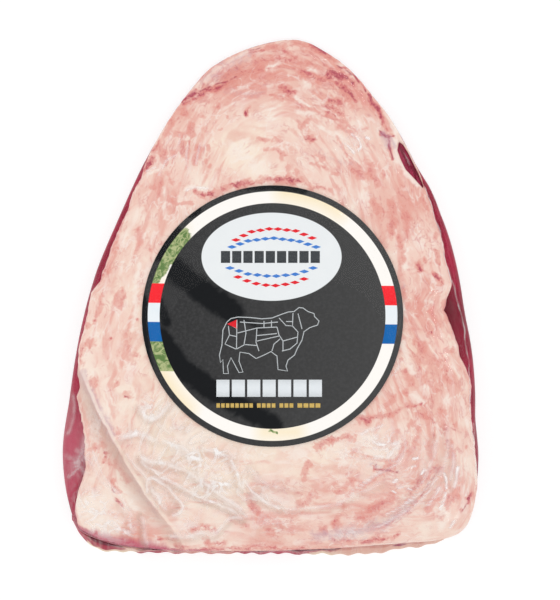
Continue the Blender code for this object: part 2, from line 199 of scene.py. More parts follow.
# Salmon: pink shapes lying in the fat.
SALMON = (
    (0.9, 3.2, 236, 77, 225, 83, 214, 87, 203, 92), (0.8, 4.4, 262, 77, 270, 74, 283, 79),
    (0.7, 4, 225, 74, 240, 72, 256, 76), (0.8, 3.2, 271, 57), (0.7, 2.2, 272, 71.5),
    (0.8, 3.2, 252, 87, 263, 88), (0.7, 2.4, 233, 84, 239, 88),
    (0.7, 1.8, 241, 94, 254, 95.5, 262, 94, 281, 96.4, 298, 103.6, 309, 110, 325, 114.7, 343, 121),
    (0.9, 2.6, 281, 89.5, 286, 93, 290, 95), (0.9, 3.2, 301, 74.5, 312, 80), (0.8, 2.6, 319, 81),
    (0.7, 1.4, 274.5, 66, 287, 67, 298, 70, 309, 73.3, 322, 76), (0.9, 3.8, 296, 42, 306, 45, 317, 50),
    (0.8, 3, 270, 47, 284, 46), (0.8, 3.4, 256, 62, 262, 70), (0.8, 3, 342, 92, 350, 104),
    (0.8, 3.4, 356, 90, 364, 104), (0.8, 3, 215.5, 106), (0.9, 3.4, 183.5, 112.5),
    (0.9, 3.2, 191.5, 126, 191.5, 131), (0.8, 3, 172, 120, 168, 132), (0.8, 3, 204, 129),
    (0.85, 3.6, 178.5, 132), (1, 2.2, 184.5, 143, 184, 153), (0.8, 3, 160, 146, 166, 160),
    (1, 2, 198, 147, 195, 162), (0.8, 3, 174, 153.8), (0.8, 1.6, 206, 145, 204, 161),
    (0.8, 1.6, 190, 140, 188, 158), (0.8, 2.2, 158, 196, 162, 182), (0.8, 2.6, 152, 187),
    (0.7, 2.2, 209, 165.7), (0.6, 2, 236, 175), (0.7, 2.2, 168, 172, 174, 184),
    (0.8, 2, 288, 164, 287, 175), (0.8, 2.8, 295, 172), (0.9, 1.4, 265, 151.4, 275, 150, 287, 154),
    (0.8, 1.6, 258.5, 138.5, 274.5, 141), (0.8, 2.4, 277, 137), (0.8, 2.8, 353, 169, 362, 175),
    (0.7, 1.6, 278, 150, 284, 158), (0.9, 3.2, 368.5, 167, 376.5, 182), (0.8, 2.8, 384.5, 173.7),
    (0.8, 2.6, 317.5, 154.6, 322, 158), (0.8, 2.6, 300, 128, 306, 120),
    (0.7, 1.6, 312.6, 162.6, 338, 173.7), (0.6, 1.8, 336.5, 137, 349, 158, 362, 172),
    (0.7, 2.6, 340, 126, 352, 132, 364, 128), (0.9, 3.2, 391.5, 201, 393, 216, 391.5, 233),
    (0.9, 3.2, 373, 201, 381, 217), (0.8, 2.2, 399, 236, 402, 262), (0.7, 2.4, 405, 214, 410, 230),
    (0.95, 2.4, 421.5, 193, 427, 209.5), (0.8, 2.4, 435.4, 236), (0.9, 2.6, 417, 295, 422, 312),
    (0.7, 2.4, 404, 288, 408, 306), (0.9, 3, 419.7, 345, 421, 360), (0.8, 2.8, 446, 350),
    (0.8, 2.2, 454, 348), (0.8, 2.8, 441, 362), (0.8, 2.6, 432, 310, 436, 322), (0.8, 3.2, 373, 173),
    (0.8, 2.8, 150.8, 247), (0.7, 2.6, 170.7, 201), (0.7, 1.6, 175, 202.7, 192, 204),
    (0.7, 2.6, 137, 230, 140, 244), (0.8, 3.4, 109.5, 268.5), (0.7, 4.6, 89.5, 343.6),
    (0.8, 2.4, 135.4, 355.8), (0.7, 4.6, 94, 382), (0.7, 3, 122, 290, 118, 304), (0.7, 3.8, 118.6, 433),
    (0.7, 3.8, 130.6, 394), (0.7, 3, 141.3, 404), (0.7, 2.6, 115, 383), (0.7, 3, 100, 300, 98, 314),
    (0.9, 2.8, 405, 394), (0.8, 3.2, 419, 414.5, 430.5, 415.7), (0.8, 3.2, 441, 411, 444, 428),
    (0.8, 2.6, 384, 404, 394, 398), (0.8, 2.8, 453.4, 426), (0.9, 3.4, 388, 466),
    (1.1, 4.6, 389, 499, 375, 509, 361.5, 517), (0.8, 3, 452, 440, 450, 456),
    (0.8, 2, 405, 441, 401, 455, 395, 465, 380, 475, 350, 495), (0.8, 2.6, 344, 503.6),
    (0.8, 2.8, 335, 482.4), (0.8, 2.6, 418, 440, 412, 452), (0.8, 4.8, 336, 525), (0.8, 4.6, 323.5, 532),
    (0.8, 4.2, 428, 513.4, 436, 500), (0.8, 2.8, 310, 462, 305, 478), (0.8, 2.2, 410, 500, 398, 512),
    (0.8, 3.8, 258, 520, 270, 530), (0.8, 3.8, 292, 530), (0.7, 3.2, 250, 505), (0.7, 3.2, 96, 446),
    (0.8, 3, 246, 500, 262, 516, 280, 526), (0.8, 2.6, 114.6, 480), (0.6, 3.8, 207, 540),
    (0.8, 3, 118, 462, 128, 480), (0.8, 3.2, 455, 500, 459, 488), (0.8, 2.8, 428, 446, 432, 460),
    (0.8, 3.2, 412, 425), (0.8, 3, 446, 506, 452, 494), (0.8, 3.4, 300, 505, 312, 496),
    (0.8, 3, 340, 492, 352, 480), (0.7, 3, 350, 456, 356, 448), (0.8, 3, 318, 446, 330, 442),
    (0.8, 3, 404, 372, 412, 384), (0.8, 3, 428, 374, 436, 390), (0.7, 3, 412, 330, 414, 344),
    (0.8, 2.4, 446, 300, 448, 318),
)
# Pale: smooth cream fat and white threads of skin.
PALE = (
    (0.8, 1.8, 150, 173, 158, 170), (0.8, 9, 240, 150), (0.8, 8, 255, 165), (0.8, 5, 306, 84, 314, 72),
    (0.8, 1.4, 281, 96, 290, 94, 300, 101, 310, 107), (0.9, 1.6, 187, 190, 192, 187, 206, 188),
    (0.8, 3, 268, 67, 280, 64), (0.7, 2.2, 137, 262, 136, 292, 132, 330), (0.6, 2, 165, 190, 168, 220),
    (0.7, 2.6, 403, 250, 406, 268), (0.6, 3, 430, 300), (0.8, 5, 430, 388), (0.8, 5, 446, 400),
    (0.8, 6, 345, 462), (0.8, 4, 414, 396, 424, 402),
    (0.9, 2.6, 394, 141, 396.5, 153, 401, 163, 408, 173, 418, 183), (0.8, 4, 438, 508, 448, 516, 440, 524),
    (0.8, 10, 300, 450), (0.8, 12, 190, 440), (1, 10, 92, 506), (0.9, 7, 96, 524, 112, 528),
    (0.7, 3, 400, 342, 412, 372), (0.8, 2.4, 318, 128, 330, 134, 344, 138), (0.8, 2, 296, 112, 310, 116),
    (0.7, 3, 88, 395, 92, 415),
)
# Grey-mauve: painted shade in hollows seen through clouded film, beside the step and along edges.
SHADE_MARKS = (
    (0.9, 2.2, 383, 134, 388, 146), (0.8, 1.8, 389, 138, 395, 148), (0.35, 3, 225, 90, 245, 92, 262, 93),
    (0.5, 2.2, 403, 285), (0.4, 2.4, 380, 467, 372, 462), (0.3, 2.4, 318, 150, 336, 160, 352, 166),
    (0.32, 9, 192, 92, 206, 80, 224, 68, 244, 57), (1, 3.4, 84, 374, 90, 392, 98, 411, 110, 436),
    (0.5, 2.4, 110, 436, 128, 468, 146, 497, 160, 517),
    (0.6, 4.6, 318, 536, 332, 535, 346, 533, 362, 531, 378, 527),
    (0.5, 3.6, 378, 527, 392, 520, 404, 511, 414, 502),
)
# Crimson stain along the lower left edge.
EDGE_STAIN = (
    (1.5, 3.6, 78, 530, 90, 537, 103, 542.5, 118, 546, 134, 548.5, 152, 550, 166, 550.5),
    (1.3, 1.8, 152, 550, 176, 551, 200, 551.5, 262, 551.5), (1, 7, 94, 538, 112, 543, 134, 547, 160, 550),
)
# Thin dark lines in the fat, where it is creased or a vein runs: strength, then the points.
VEINS = (
    (0.95, 182.5, 101, 190, 95.5, 199, 92, 207, 88.5, 218, 84, 229, 80.5, 235, 77),
    (0.8, 236, 66.5, 241, 71), (0.4, 262, 94, 282, 97, 298, 104, 310, 111, 324, 116, 342, 122),
    (0.5, 278, 67, 298, 70, 310, 73, 328, 77), (0.5, 314, 105, 328, 107, 337, 110),
    (0.5, 334, 141, 346, 153, 362, 169), (0.4, 298, 149, 310, 155, 330, 167, 346, 177),
    (0.8, 251, 50, 262, 48), (0.95, 337, 66, 349, 71, 357, 79), (0.8, 338, 87, 348, 93, 356, 101),
    (0.95, 380, 131, 386, 138, 393, 136), (0.9, 387, 141, 391, 151, 393, 160),
    (0.95, 376.4, 465.5, 376.4, 472), (0.9, 377.5, 469.2, 388, 471, 398, 470.6),
    (0.8, 446.5, 441, 447, 444), (0.45, 408, 270, 420, 267, 426, 262, 433, 256),
    (0.4, 433, 256, 439, 266, 442, 279), (0.6, 420, 507, 410, 513, 397, 522, 380, 528),
    (0.7, 438, 470, 430, 483, 421, 495), (0.9, 471.8, 492, 468, 502, 463, 511),
    (0.7, 103.5, 452, 104.5, 457), (0.8, 112.5, 489, 114, 492), (0.7, 116, 499, 122.6, 507),
    (0.6, 129, 484.5, 129.8, 486.5), (0.8, 125, 396, 129, 398), (0.5, 353, 169, 362, 180),
    (0.25, 430, 238, 434, 262), (0.45, 399, 262, 405, 290, 402, 318), (0.5, 416, 330, 421, 352, 418, 380),
    (0.5, 205, 145, 202, 158, 203, 166), (0.5, 184, 142, 184, 156),
    (0.25, 355, 425, 372, 417, 396, 412, 405, 407), (0.45, 288, 162, 286, 178),
    (0.5, 380, 196, 384, 214, 380, 228), (0.25, 331.5, 540, 352, 541.5, 372, 540),
    (0.45, 418, 412, 432, 418, 446, 430), (0.4, 150, 247, 152, 262), (0.4, 88, 338, 92, 352),
    (0.6, 445, 426, 454, 430, 463, 434), (0.45, 436, 300, 432, 316, 437, 330),
    (0.5, 446, 345, 442, 358, 444, 370), (0.4, 107, 266, 110, 282),
    (0.95, 80, 530, 92, 537, 105, 541.5, 118, 544.5, 132, 547, 152, 549, 199, 550.5),
    (0.7, 432, 418, 433, 427, 434, 436), (0.5, 270, 52, 290, 51, 310, 56, 326, 66),
    (0.4, 256, 62, 276, 60, 300, 64), (0.5, 359, 88, 368, 100, 376, 116),
)
# Tears in the fat through which the dark lean shows: closed outlines.
TEARS = (
    (399, 141.5, 397.5, 150, 400.8, 159, 405.8, 169.5, 414, 178, 423, 188, 424, 186, 419.7, 175.5, 414.7,
     165.6, 409.7, 155, 403, 144),
)
TEAR_DEPTH = 2.6
# How strongly the painted shadow beside the step and the painted highlight on its edge show: place along Y,
# strength
STEP_SHADE = ((-112, 0.4), (-105, 0.6), (-92, 0.9), (-51, 1), (-42, 0.8), (-29, 0.35), (-24, 0))

# Regions of the fat and of the film: pixel, radius, value. The fat is redder or warmer there, the film
# is slack, lies in broad loose facets, or is clouded; the clouded patches are partly painted highlights.
REDNESS = (
    (300, 55, 46, 0.34), (350, 85, 40, 0.42), (245, 75, 34, 0.3), (200, 100, 30, 0.2), (175, 140, 40, 0.32),
    (375, 190, 42, 0.22), (345, 130, 30, 0.1), (420, 240, 46, 0.36), (425, 325, 44, 0.42),
    (400, 405, 36, 0.26), (445, 390, 36, 0.44), (430, 470, 46, 0.06), (372, 446, 24, -0.3),
    (215, 75, 26, 0.6), (420, 215, 26, 0.24), (205, 475, 34, -0.14), (462, 500, 18, 0.44),
    (360, 505, 46, 0.3), (290, 535, 50, 0.34), (130, 540, 24, 0.44), (425, 488, 24, 0.3),
    (112, 462, 22, 0.36), (145, 215, 40, 0.22), (112, 300, 44, 0.12), (110, 360, 34, 0.04),
    (300, 120, 40, 0.12), (240, 150, 30, -0.3), (170, 430, 60, -0.2), (220, 480, 60, -0.16),
    (310, 460, 34, -0.1), (90, 510, 22, -0.3), (150, 290, 30, -0.1),
)
WARMTH = (
    (240, 150, 44, 0.6), (300, 455, 40, 0.5), (180, 440, 60, 0.5), (430, 390, 36, 0.5),
    (130, 290, 60, 0.35), (250, 500, 60, 0.1), (150, 350, 40, 0.25), (410, 350, 30, 0.7),
    (440, 510, 40, 0.2), (310, 90, 30, 0.2),
)
SLACK = (
    (410, 480, 44, 0.75), (440, 500, 34, 0.5), (360, 490, 30, 0.4), (352, 143, 16, 0.6),
    (160, 165, 26, 0.3), (180, 180, 30, 0.3), (80, 470, 18, 0.3), (380, 150, 20, 0.3), (200, 490, 60, 0.45),
    (150, 430, 34, 0.4), (300, 500, 40, 0.3),
)
LOOSE = (
    (165, 420, 30, 0.7), (190, 460, 40, 0.9), (150, 450, 22, 0.6), (230, 490, 40, 0.8), (280, 505, 30, 0.5),
    (395, 470, 30, 0.3),
)
VEILS_AND_HIGHLIGHTS = (
    (150, 411, 8, 0.5), (137, 436, 8, 0.45), (195, 457, 9, 0.45), (218, 452, 8, 0.45), (160, 500, 8, 0.35),
    (150, 402, 8, 0.3), (172, 444, 7, 0.35), (184, 427, 6, 0.35), (222, 484, 7, 0.4), (160, 470, 12, 0.3),
    (210, 500, 12, 0.3), (190, 524, 12, 0.3), (240, 470, 14, 0.12), (104, 524, 18, 0.45),
    (92, 505, 12, 0.24), (100, 425, 14, 0.25), (345, 455, 16, 0.25), (374, 444, 20, 0.22),
    (384, 455, 14, 0.14), (215, 470, 34, 0.16), (128, 530, 12, 0.3), (388, 442, 12, 0.3),
    (400, 490, 34, 0.04), (450, 470, 20, 0.08), (352, 143, 12, 0.2), (76, 466, 10, 0.12),
    (90, 455, 8, 0.15), (92, 500, 14, 0.25), (360, 531, 12, 0.14), (346, 533, 12, 0.14),
    (210, 470, 30, 0.14), (92, 505, 16, 0.2), (266, 520, 20, 0.15), (425, 445, 12, 0.2),
)
# Creases of the film: height, half width, cloudiness (a painted glint on the short bright ones), painted
# shade beside it, then the points in pixels
CREASES = (
    (0.6, 1.8, 0.5, 0.3, 142, 457, 158, 463, 172, 466, 188, 472, 204, 482, 218, 492, 232, 502, 241, 509),
    (0.6, 1.4, 0.45, 0.35, 143, 462, 160, 474, 180, 486, 196, 494, 208, 500, 222, 505, 230, 508, 241, 518),
    (0.5, 1.3, 0.5, 0.25, 148, 490, 147, 481, 154, 478, 164, 483, 174, 492, 181, 504, 181, 512, 173, 515),
    (0.5, 1.8, 0.42, 0.2, 172, 536, 188, 536, 200, 533, 212, 534, 222, 526, 230, 518, 241, 518),
    (0.3, 2.4, 0.3, 0.1, 176, 534, 196, 536, 214, 531), (0.5, 1.8, 0.5, 0.2, 204, 448, 216, 452, 230, 456),
    (0.6, 1.3, 0.55, 0.25, 230, 456, 238, 474, 242, 488, 244, 480, 250, 490, 259, 498, 280, 508),
    (0.5, 2, 0.4, 0.2, 214, 483, 228, 484), (0.5, 2.6, 0.5, 0.25, 140, 410, 148, 418, 158, 416, 168, 403),
    (0.5, 2.4, 0.5, 0.2, 120, 438, 130, 434, 140, 433, 154, 440),
    (0.5, 2, 0.45, 0.2, 182, 446, 188, 454, 199, 460, 198, 470), (0.4, 2, 0.4, 0.15, 164, 442, 180, 446),
    (0.4, 1.8, 0.4, 0.1, 172, 428, 184, 426), (0.4, 2.4, 0.35, 0.1, 158, 424, 170, 432),
    (0.5, 1.4, 0.35, 0.12, 265, 490, 275, 505, 300, 508, 340, 505),
    (0.4, 1.6, 0.3, 0.14, 200, 488, 225, 500, 245, 515),
    (0.4, 1.6, 0.35, 0.2, 126, 454, 134, 464, 144, 474, 154, 492, 166, 508),
    (0.4, 1.8, 0.3, 0.15, 250, 470, 262, 480, 280, 486),
    (0.3, 2, 0.24, 0, 76, 450, 86, 456, 96, 468, 102, 480, 114, 492),
    (0.3, 1.4, 0.35, 0, 92, 452, 100, 466, 110, 484, 120, 496, 131, 515),
    (0.3, 2, 0.2, 0, 66, 456, 76, 464, 86, 474), (0.3, 1.4, 0.18, 0, 90, 452, 78, 464, 68, 478),
    (0.4, 1.6, 0.2, 0.1, 72, 396, 72.5, 412, 70, 426, 67, 434),
    (0.3, 3, 0.25, 0, 84, 440, 82, 452, 76, 466), (0.4, 1.2, 0.4, 0.08, 108, 524, 118, 529, 128, 533),
    (0.5, 2.2, 0.34, 0.3, 143, 519, 145, 530, 146.5, 542),
    (0.3, 1.2, 0.3, 0.1, 120, 505, 128, 515, 130, 528),
    (0.4, 1.2, 0.35, 0, 405, 440, 404, 448, 401, 456, 396, 464, 387, 470, 378, 474, 362, 486, 352, 494),
    (0.4, 1, 0.5, 0.12, 438, 479, 428, 492, 417, 503, 402, 513, 385, 523, 372, 528),
    (0.3, 0.8, 0.6, 0, 433, 479, 423, 490, 413, 498, 400, 507, 386, 514),
    (0.3, 0.8, 0.5, 0.1, 424, 477, 418, 487, 412, 496, 404, 503),
    (0.3, 0.9, 0.6, 0.1, 440, 488, 434, 497, 428, 505),
    (0.3, 1.5, 0.85, 0.1, 458.5, 468, 457.5, 478, 455, 487),
    (0.3, 0.9, 0.9, 0, 444, 472, 445.5, 479, 445.5, 488),
    (0.3, 0.9, 0.8, 0, 445, 492, 443, 503, 439.5, 509), (0.3, 1, 0.7, 0, 454, 521, 450, 528),
    (0.3, 0.9, 0.9, 0, 392, 481.5, 396, 479), (0.3, 0.9, 0.8, 0, 396.5, 487, 402, 485.5),
    (0.3, 0.8, 0.8, 0, 391, 491, 394, 493), (0.3, 0.8, 0.9, 0, 407, 487.5, 412, 489.5),
    (0.3, 0.9, 0.9, 0, 412.5, 457.5, 418, 457), (0.3, 0.9, 0.7, 0, 405, 469, 414, 465),
    (0.3, 0.9, 0.9, 0, 421, 474, 425, 470), (0.3, 0.9, 0.5, 0, 381, 471, 365, 481, 352, 490),
    (0.3, 1, 0.45, 0, 362, 433, 373, 428, 382, 424), (0.3, 1.4, 0.45, 0, 376, 456.5, 388, 457, 392, 454),
    (0.3, 2, 0.3, 0.1, 447, 430, 447, 455, 440, 474), (0.3, 1.8, 0.3, 0.1, 436, 440, 434, 458, 424, 478),
    (0.3, 1.6, 0.3, 0.1, 330, 508, 345, 500, 362, 492, 380, 484),
    (0.3, 5, 0.2, 0, 322, 536, 346, 533, 366, 530, 385, 524, 402, 512),
    (0.3, 3.6, 0.4, 0, 376, 440, 386, 444, 396, 446), (0.3, 1.6, 0.35, 0.1, 452, 446, 454, 464, 450, 480),
    (0.3, 0.45, 0.4, 0, 425.5, 188, 431.3, 202.8, 436.2, 219.4, 441.2, 236, 445.3, 255.8, 451, 279),
    (0.3, 0.45, 0.4, 0, 451, 279, 455.3, 289, 460.2, 305.5, 464.4, 325.4, 466.9, 345.2, 469.3, 368.4,
     470.2, 388), (0.2, 0.4, 0.25, 0, 402.5, 152, 405.5, 158, 408.5, 165),
    (0.3, 0.6, 0.45, 0, 470.2, 388, 470.5, 404, 472, 430, 475, 456, 477, 480),
    (0.3, 1, 0.6, 0, 187, 190, 193, 186.5, 206, 187.5), (0.3, 1, 0.4, 0, 147, 171, 156, 168),
    (0.3, 0.9, 0.85, 0, 351, 134, 357, 138, 360, 146, 358, 151), (0.3, 0.9, 0.9, 0, 366, 137, 369, 138),
    (0.3, 0.9, 0.7, 0, 345, 143, 350, 149, 354, 154), (0.3, 1, 0.4, 0, 399, 367, 392, 374, 384, 378),
    (0.3, 1, 0.4, 0, 196, 163, 199, 152, 202, 144), (0.3, 1, 0.4, 0, 187, 168, 186, 156, 188, 146),
    (0.3, 1, 0.35, 0, 176, 150, 180, 136), (0.3, 1.2, 0.35, 0, 160, 176, 166, 162, 176, 156),
)

# The label's fields in millimetres from its middle: the radii of the disc and of the foil, the slant
# of the band's levels, the level fields with their two tones, and the levels where no green reflection is
# painted
DISC_RADIUS = 51.0
FOIL_RADIUS = 56.4
BAND_SLANT = 0.0106
FIELD_EDGE = 0.12
COLOUR_FIELDS = (
    (-3.4, 5.2, "F4F7F9", "E6EFF5"), (5.2, 14.05, "FF2E38", "F4202C"), (-12.2, -3.4, "0A6CB8", "1B5FA6"),
)
BARE_LEVELS = (-45.0, -25.6)
# The oval field, in the model's frame
OVAL_MIDDLE = (0.55, 17.8)
OVAL_HALVES = (31.9, 20.1)
# Painted reflections on the label: dark streaks on the dark paper, gold and green on the foil: strength,
# half width in pixels, points
DARK_REFLECTIONS = (
    (1, 10, 172, 268, 200, 290, 232, 312), (1, 9, 160, 338, 180, 368, 216, 392),
    (0.8, 4, 172, 370, 214, 391), (0.9, 9, 232, 402, 256, 414, 272, 424), (0.8, 5, 158, 300, 166, 322),
    (0.5, 5, 245, 320, 262, 330), (1, 5, 232, 184, 270, 184, 302, 188),
    (1, 5, 158, 254, 168, 240, 176, 232), (1, 5, 142, 300, 142, 336, 148, 372),
    (0.9, 4, 192, 214, 197, 210),
)
GOLD_REFLECTIONS = (
    (0.9, 9, 285, 192, 320, 200, 338, 210), (0.8, 8, 265, 432, 296, 432),
    (0.9, 9, 163, 374, 176, 396, 186, 408), (0.5, 8, 170, 240, 180, 230), (0.6, 8, 152, 286, 156, 276),
)
GREEN_REFLECTIONS = (
    (1, 9, 180, 240, 176, 254), (1, 7, 158, 270, 164, 258, 170, 250), (0.9, 5, 153, 282, 158, 272),
    (1, 14, 150, 344, 156, 358, 163, 372), (0.6, 1.6, 258, 190.5, 265, 190),
    (0.5, 1.3, 269, 431, 272, 429.5), (0.6, 1.2, 272, 431.5, 277, 432.5),
)
# Print on the label, in pixels: a plain drawing of a standing animal with its cuts, a patch filled
# by short lines, and dashes in groups: start, number, width
ANIMAL = (
    (227, 322, 231, 318.5, 238, 317, 250, 317.5, 262, 318.8, 272, 318, 281, 314.5, 288, 312, 294, 311.5,
     299, 307.5, 303, 308, 308, 311.5, 314, 313.5, 314.5, 316.5, 319, 321, 317.5, 325, 310, 327.5, 304,
     331.5, 302, 340, 297, 349, 294.5, 355, 288, 360, 286, 366, 287.5, 371, 278, 369.5, 277, 356, 271,
     351.5, 264, 355, 256, 358.5, 249, 353.5, 240, 352, 239, 361, 243, 372, 239, 372.5, 231, 357.5, 227.5,
     366, 228.5, 373.5, 223.5, 373.5, 223, 359.5, 220.5, 362.5, 219.5, 355, 222, 345, 223, 330, 227, 322),
    (237, 319.5, 236.5, 349), (244, 320, 246, 333, 244, 345, 236.5, 349), (237.5, 333, 257, 328, 277, 327),
    (264, 321, 264, 327.5), (271.5, 320.5, 271.5, 327), (257, 328, 256, 342, 259, 351),
    (245, 344.5, 257, 345.5), (257, 335.5, 277, 333.5), (257, 341, 279, 336),
    (277, 327, 279, 335, 283, 341), (280, 339, 274, 344, 272, 351), (283, 341, 283, 350.5),
    (283, 341, 297.5, 337), (279, 318, 286, 325.5, 292.5, 326, 293, 313),
    (292.5, 326, 298, 332, 297, 343, 290, 349, 282, 351), (298, 313.5, 302, 329),
    (228.5, 326, 229.5, 335, 225, 344, 236, 349), (229.5, 335, 236.5, 336.5), (229, 324, 237, 328.5),
    (240, 322, 262, 323.5, 278, 322), (286, 321.5, 292.5, 321.5),
)
RUMP_PATCH = tuple((228 + 0.75 * k, 323.6 - 0.34 * k, 228 + 0.75 * k, 324.4 + 0.34 * k) for k in range(13))
DASHES = ((216.5, 8, 3.5), (257, 4, 3.7), (279.5, 3, 3.8), (297.5, 4, 4.8))

# Lamps for highlights alone, in metres: name, direction and height in radians, power in watts
SPARKLE_AWAY = 1.3
SPARKLE_SIZE = 0.26
SPARKLES = (
    ("sparkle_right", 0.2, 0.62, 4.0), ("sparkle_left", 3.3, 0.62, 3.0),
    ("sparkle_back", 1.05, 0.5, 3.0), ("sparkle_front", 5.4, 0.6, 5.0),
)


def spline(knots, at):
    """A smooth curve through (place, value) knots, held level past its ends."""
    places, values = np.array(knots, float).T
    at = np.clip(at, places[0], places[-1])
    last = len(places) - 1
    before = np.maximum(np.arange(last + 1) - 1, 0)
    after = np.minimum(np.arange(last + 1) + 1, last)
    slopes = (values[after] - values[before]) / (places[after] - places[before])
    i = np.clip(np.searchsorted(places, at, side="right") - 1, 0, last - 1)
    span = places[i + 1] - places[i]
    u = (at - places[i]) / span
    start = values[i] * (1 + 2 * u) * (1 - u) ** 2 + slopes[i] * span * u * (1 - u) ** 2
    end = values[i + 1] * u * u * (3 - 2 * u) + slopes[i + 1] * span * u * u * (u - 1)
    return start + end


def reach_knots():
    """The outline as (angle, distance from the middle), once round and a little over at each end."""
    knots = []
    for x, y in OUTLINE:
        angle = math.atan2(y - MIDDLE[1], x - MIDDLE[0]) % math.tau
        knots.append((angle, math.hypot(x - MIDDLE[0], y - MIDDLE[1])))
    knots.sort()
    before = [(angle - math.tau, reach) for angle, reach in knots[-2:]]
    after = [(angle + math.tau, reach) for angle, reach in knots[:2]]
    return before + knots + after


REACH_KNOTS = reach_knots()


def reach(angle):
    return spline(REACH_KNOTS, np.asarray(angle) % math.tau)


def place(angle, share):
    away = reach(angle) * share
    return MIDDLE[0] + away * np.cos(angle), MIDDLE[1] + away * np.sin(angle)


def polar(x, y):
    """The angle and the share of the reach at a place."""
    angle = np.arctan2(y - MIDDLE[1], x - MIDDLE[0])
    return angle, np.hypot(x - MIDDLE[0], y - MIDDLE[1]) / reach(angle)


def even_angles(count):
    """Angles that cut the outline into stretches of equal length."""
    fine = np.linspace(0.0, math.tau, 2881)
    x, y = place(fine, 1.0)
    length = np.concatenate(([0.0], np.cumsum(np.hypot(np.diff(x), np.diff(y)))))
    return np.interp(np.arange(count) * length[-1] / count, length, fine)


def ramp(value):
    value = np.clip(value, 0.0, 1.0)
    return value * value * (3 - 2 * value)


def nearest(line, x, y):
    """Distance from a line of points, and +1 to its right or -1 to its left."""
    away = np.full(np.shape(x), np.inf)
    side = np.ones(np.shape(x))
    if len(line) == 1:
        return np.hypot(x - line[0][0], y - line[0][1]), side
    for (ax, ay), (bx, by) in zip(line, line[1:]):
        run = ((x - ax) * (bx - ax) + (y - ay) * (by - ay)) / ((bx - ax) ** 2 + (by - ay) ** 2)
        run = np.clip(run, 0.0, 1.0)
        here = np.hypot(x - ax - run * (bx - ax), y - ay - run * (by - ay))
        turn = (bx - ax) * (y - ay) - (by - ay) * (x - ax)
        closer = here < away
        away = np.where(closer, here, away)
        side = np.where(closer, np.where(turn > 0, -1.0, 1.0), side)
    return away, side


def lattice_noise(points, size, seed):
    """Smooth noise from 0 to 1 in space, with features of the given size."""
    rng = np.random.default_rng(seed)
    order = rng.permutation(256)
    values = rng.random(256)
    points = np.asarray(points, float) / size
    cell = np.floor(points).astype(int)
    part = points - cell
    part = part * part * (3 - 2 * part)
    total = np.zeros(len(points))
    for corner in range(8):
        step = np.array([corner & 1, corner >> 1 & 1, corner >> 2 & 1])
        weight = np.prod(np.where(step, part, 1 - part), axis=1)
        spot = (cell + step) & 255
        key = order[(order[(order[spot[:, 0]] + spot[:, 1]) & 255] + spot[:, 2]) & 255]
        total += weight * values[key]
    return total


def layered_noise(points, size, seed, layers=3):
    """Noise with finer and weaker layers added, from about 0 to 1."""
    total = 0.0
    weight = 1.0
    whole = 0.0
    for layer in range(layers):
        total = total + weight * lattice_noise(points, size / 2**layer, seed + layer)
        whole += weight
        weight *= 0.5
    return total / whole


def cell_edges(points, size, seed):
    """How much further the next nearest of scattered points is than the nearest: 0 on a cell's edge."""
    points = np.asarray(points, float) / size
    cell = np.floor(points).astype(int)
    rng = np.random.default_rng(seed)
    order = rng.permutation(256)
    jitter = rng.random((256, 3))
    first, second = np.full((2, len(points)), 9.0)
    for step in itertools.product((-1, 0, 1), repeat=3):
        spot = cell + step
        key = order[(order[(order[spot[:, 0] & 255] + spot[:, 1]) & 255] + spot[:, 2]) & 255]
        away = np.linalg.norm(points - spot - jitter[key], axis=1)
        second = np.minimum(second, np.maximum(first, away))
        first = np.minimum(first, away)
    return second - first


def level_points(x, y):
    return np.stack([x, y, 0 * x], 1)


def from_label(x, y):
    """Distance from the label's middle."""
    return np.hypot(x - LABEL_MIDDLE[0], y - LABEL_MIDDLE[1])


def dome(y, share):
    return spline(HEIGHTS, y) * (1.0 - EDGE_DROP * share**EDGE_POWER)


def seam(y, share):
    fat = FAT_SHARE + (FAT_SHARE_RIM - FAT_SHARE) * share**2
    return dome(y, share) - fat * spline(HEIGHTS, y)


def relief(x, y):
    """The step and the folds in the fat."""
    away, side = nearest(STEP_LINE, x, y)
    height = -STEP_DROP * ramp(side * away / STEP_WIDTH)
    for line, fold, half_width in FOLDS:
        height = height + fold * np.exp(-((nearest(line, x, y)[0] / half_width) ** 2))
    return height


def rim_share():
    """The fat's rim as a share of the reach, with its small raggedness."""
    inset = np.interp(np.degrees(ANGLES % math.tau), *np.array(RIM_INSETS).T)
    ragged = (layered_noise(level_points(*place(ANGLES, 1.0)), 4.0, 11) - 0.5) * 2 * RIM_RAGGEDNESS
    inset = inset + ragged * np.clip(inset - 0.6, 0.3, 2.5)
    return 1.0 - np.maximum(inset, 0.3) / REACH


def fat_top(angle, share, rim):
    """Height of the fat's upper face, rounded down to its rim."""
    x, y = place(angle, share)
    inwards = np.maximum(rim - share, 0.0) * reach(angle)
    rounding = np.sqrt(1.0 - np.maximum(1.0 - inwards / FAT_ROUNDING, 0.0) ** 2)
    low = seam(y, share) + LABEL_GAP
    full = dome(y, share) + relief(x, y) * ramp(inwards / FAT_ROUNDING)
    return low + (full - low) * (0.5 + 0.5 * rounding)


def lean_top(share):
    """Height of the lean's upper face: the seam, then the shoulder out to its widest line."""
    edge = seam(place(ANGLES, FAT_FOOT)[1], FAT_FOOT)
    out = np.clip((share - FAT_FOOT) / (1.0 - FAT_FOOT), 0.0, 1.0)
    shoulder = WIDEST + (edge - WIDEST) * np.sqrt(1.0 - out**2)
    return np.where(share < FAT_FOOT, seam(place(ANGLES, share)[1], share), shoulder)


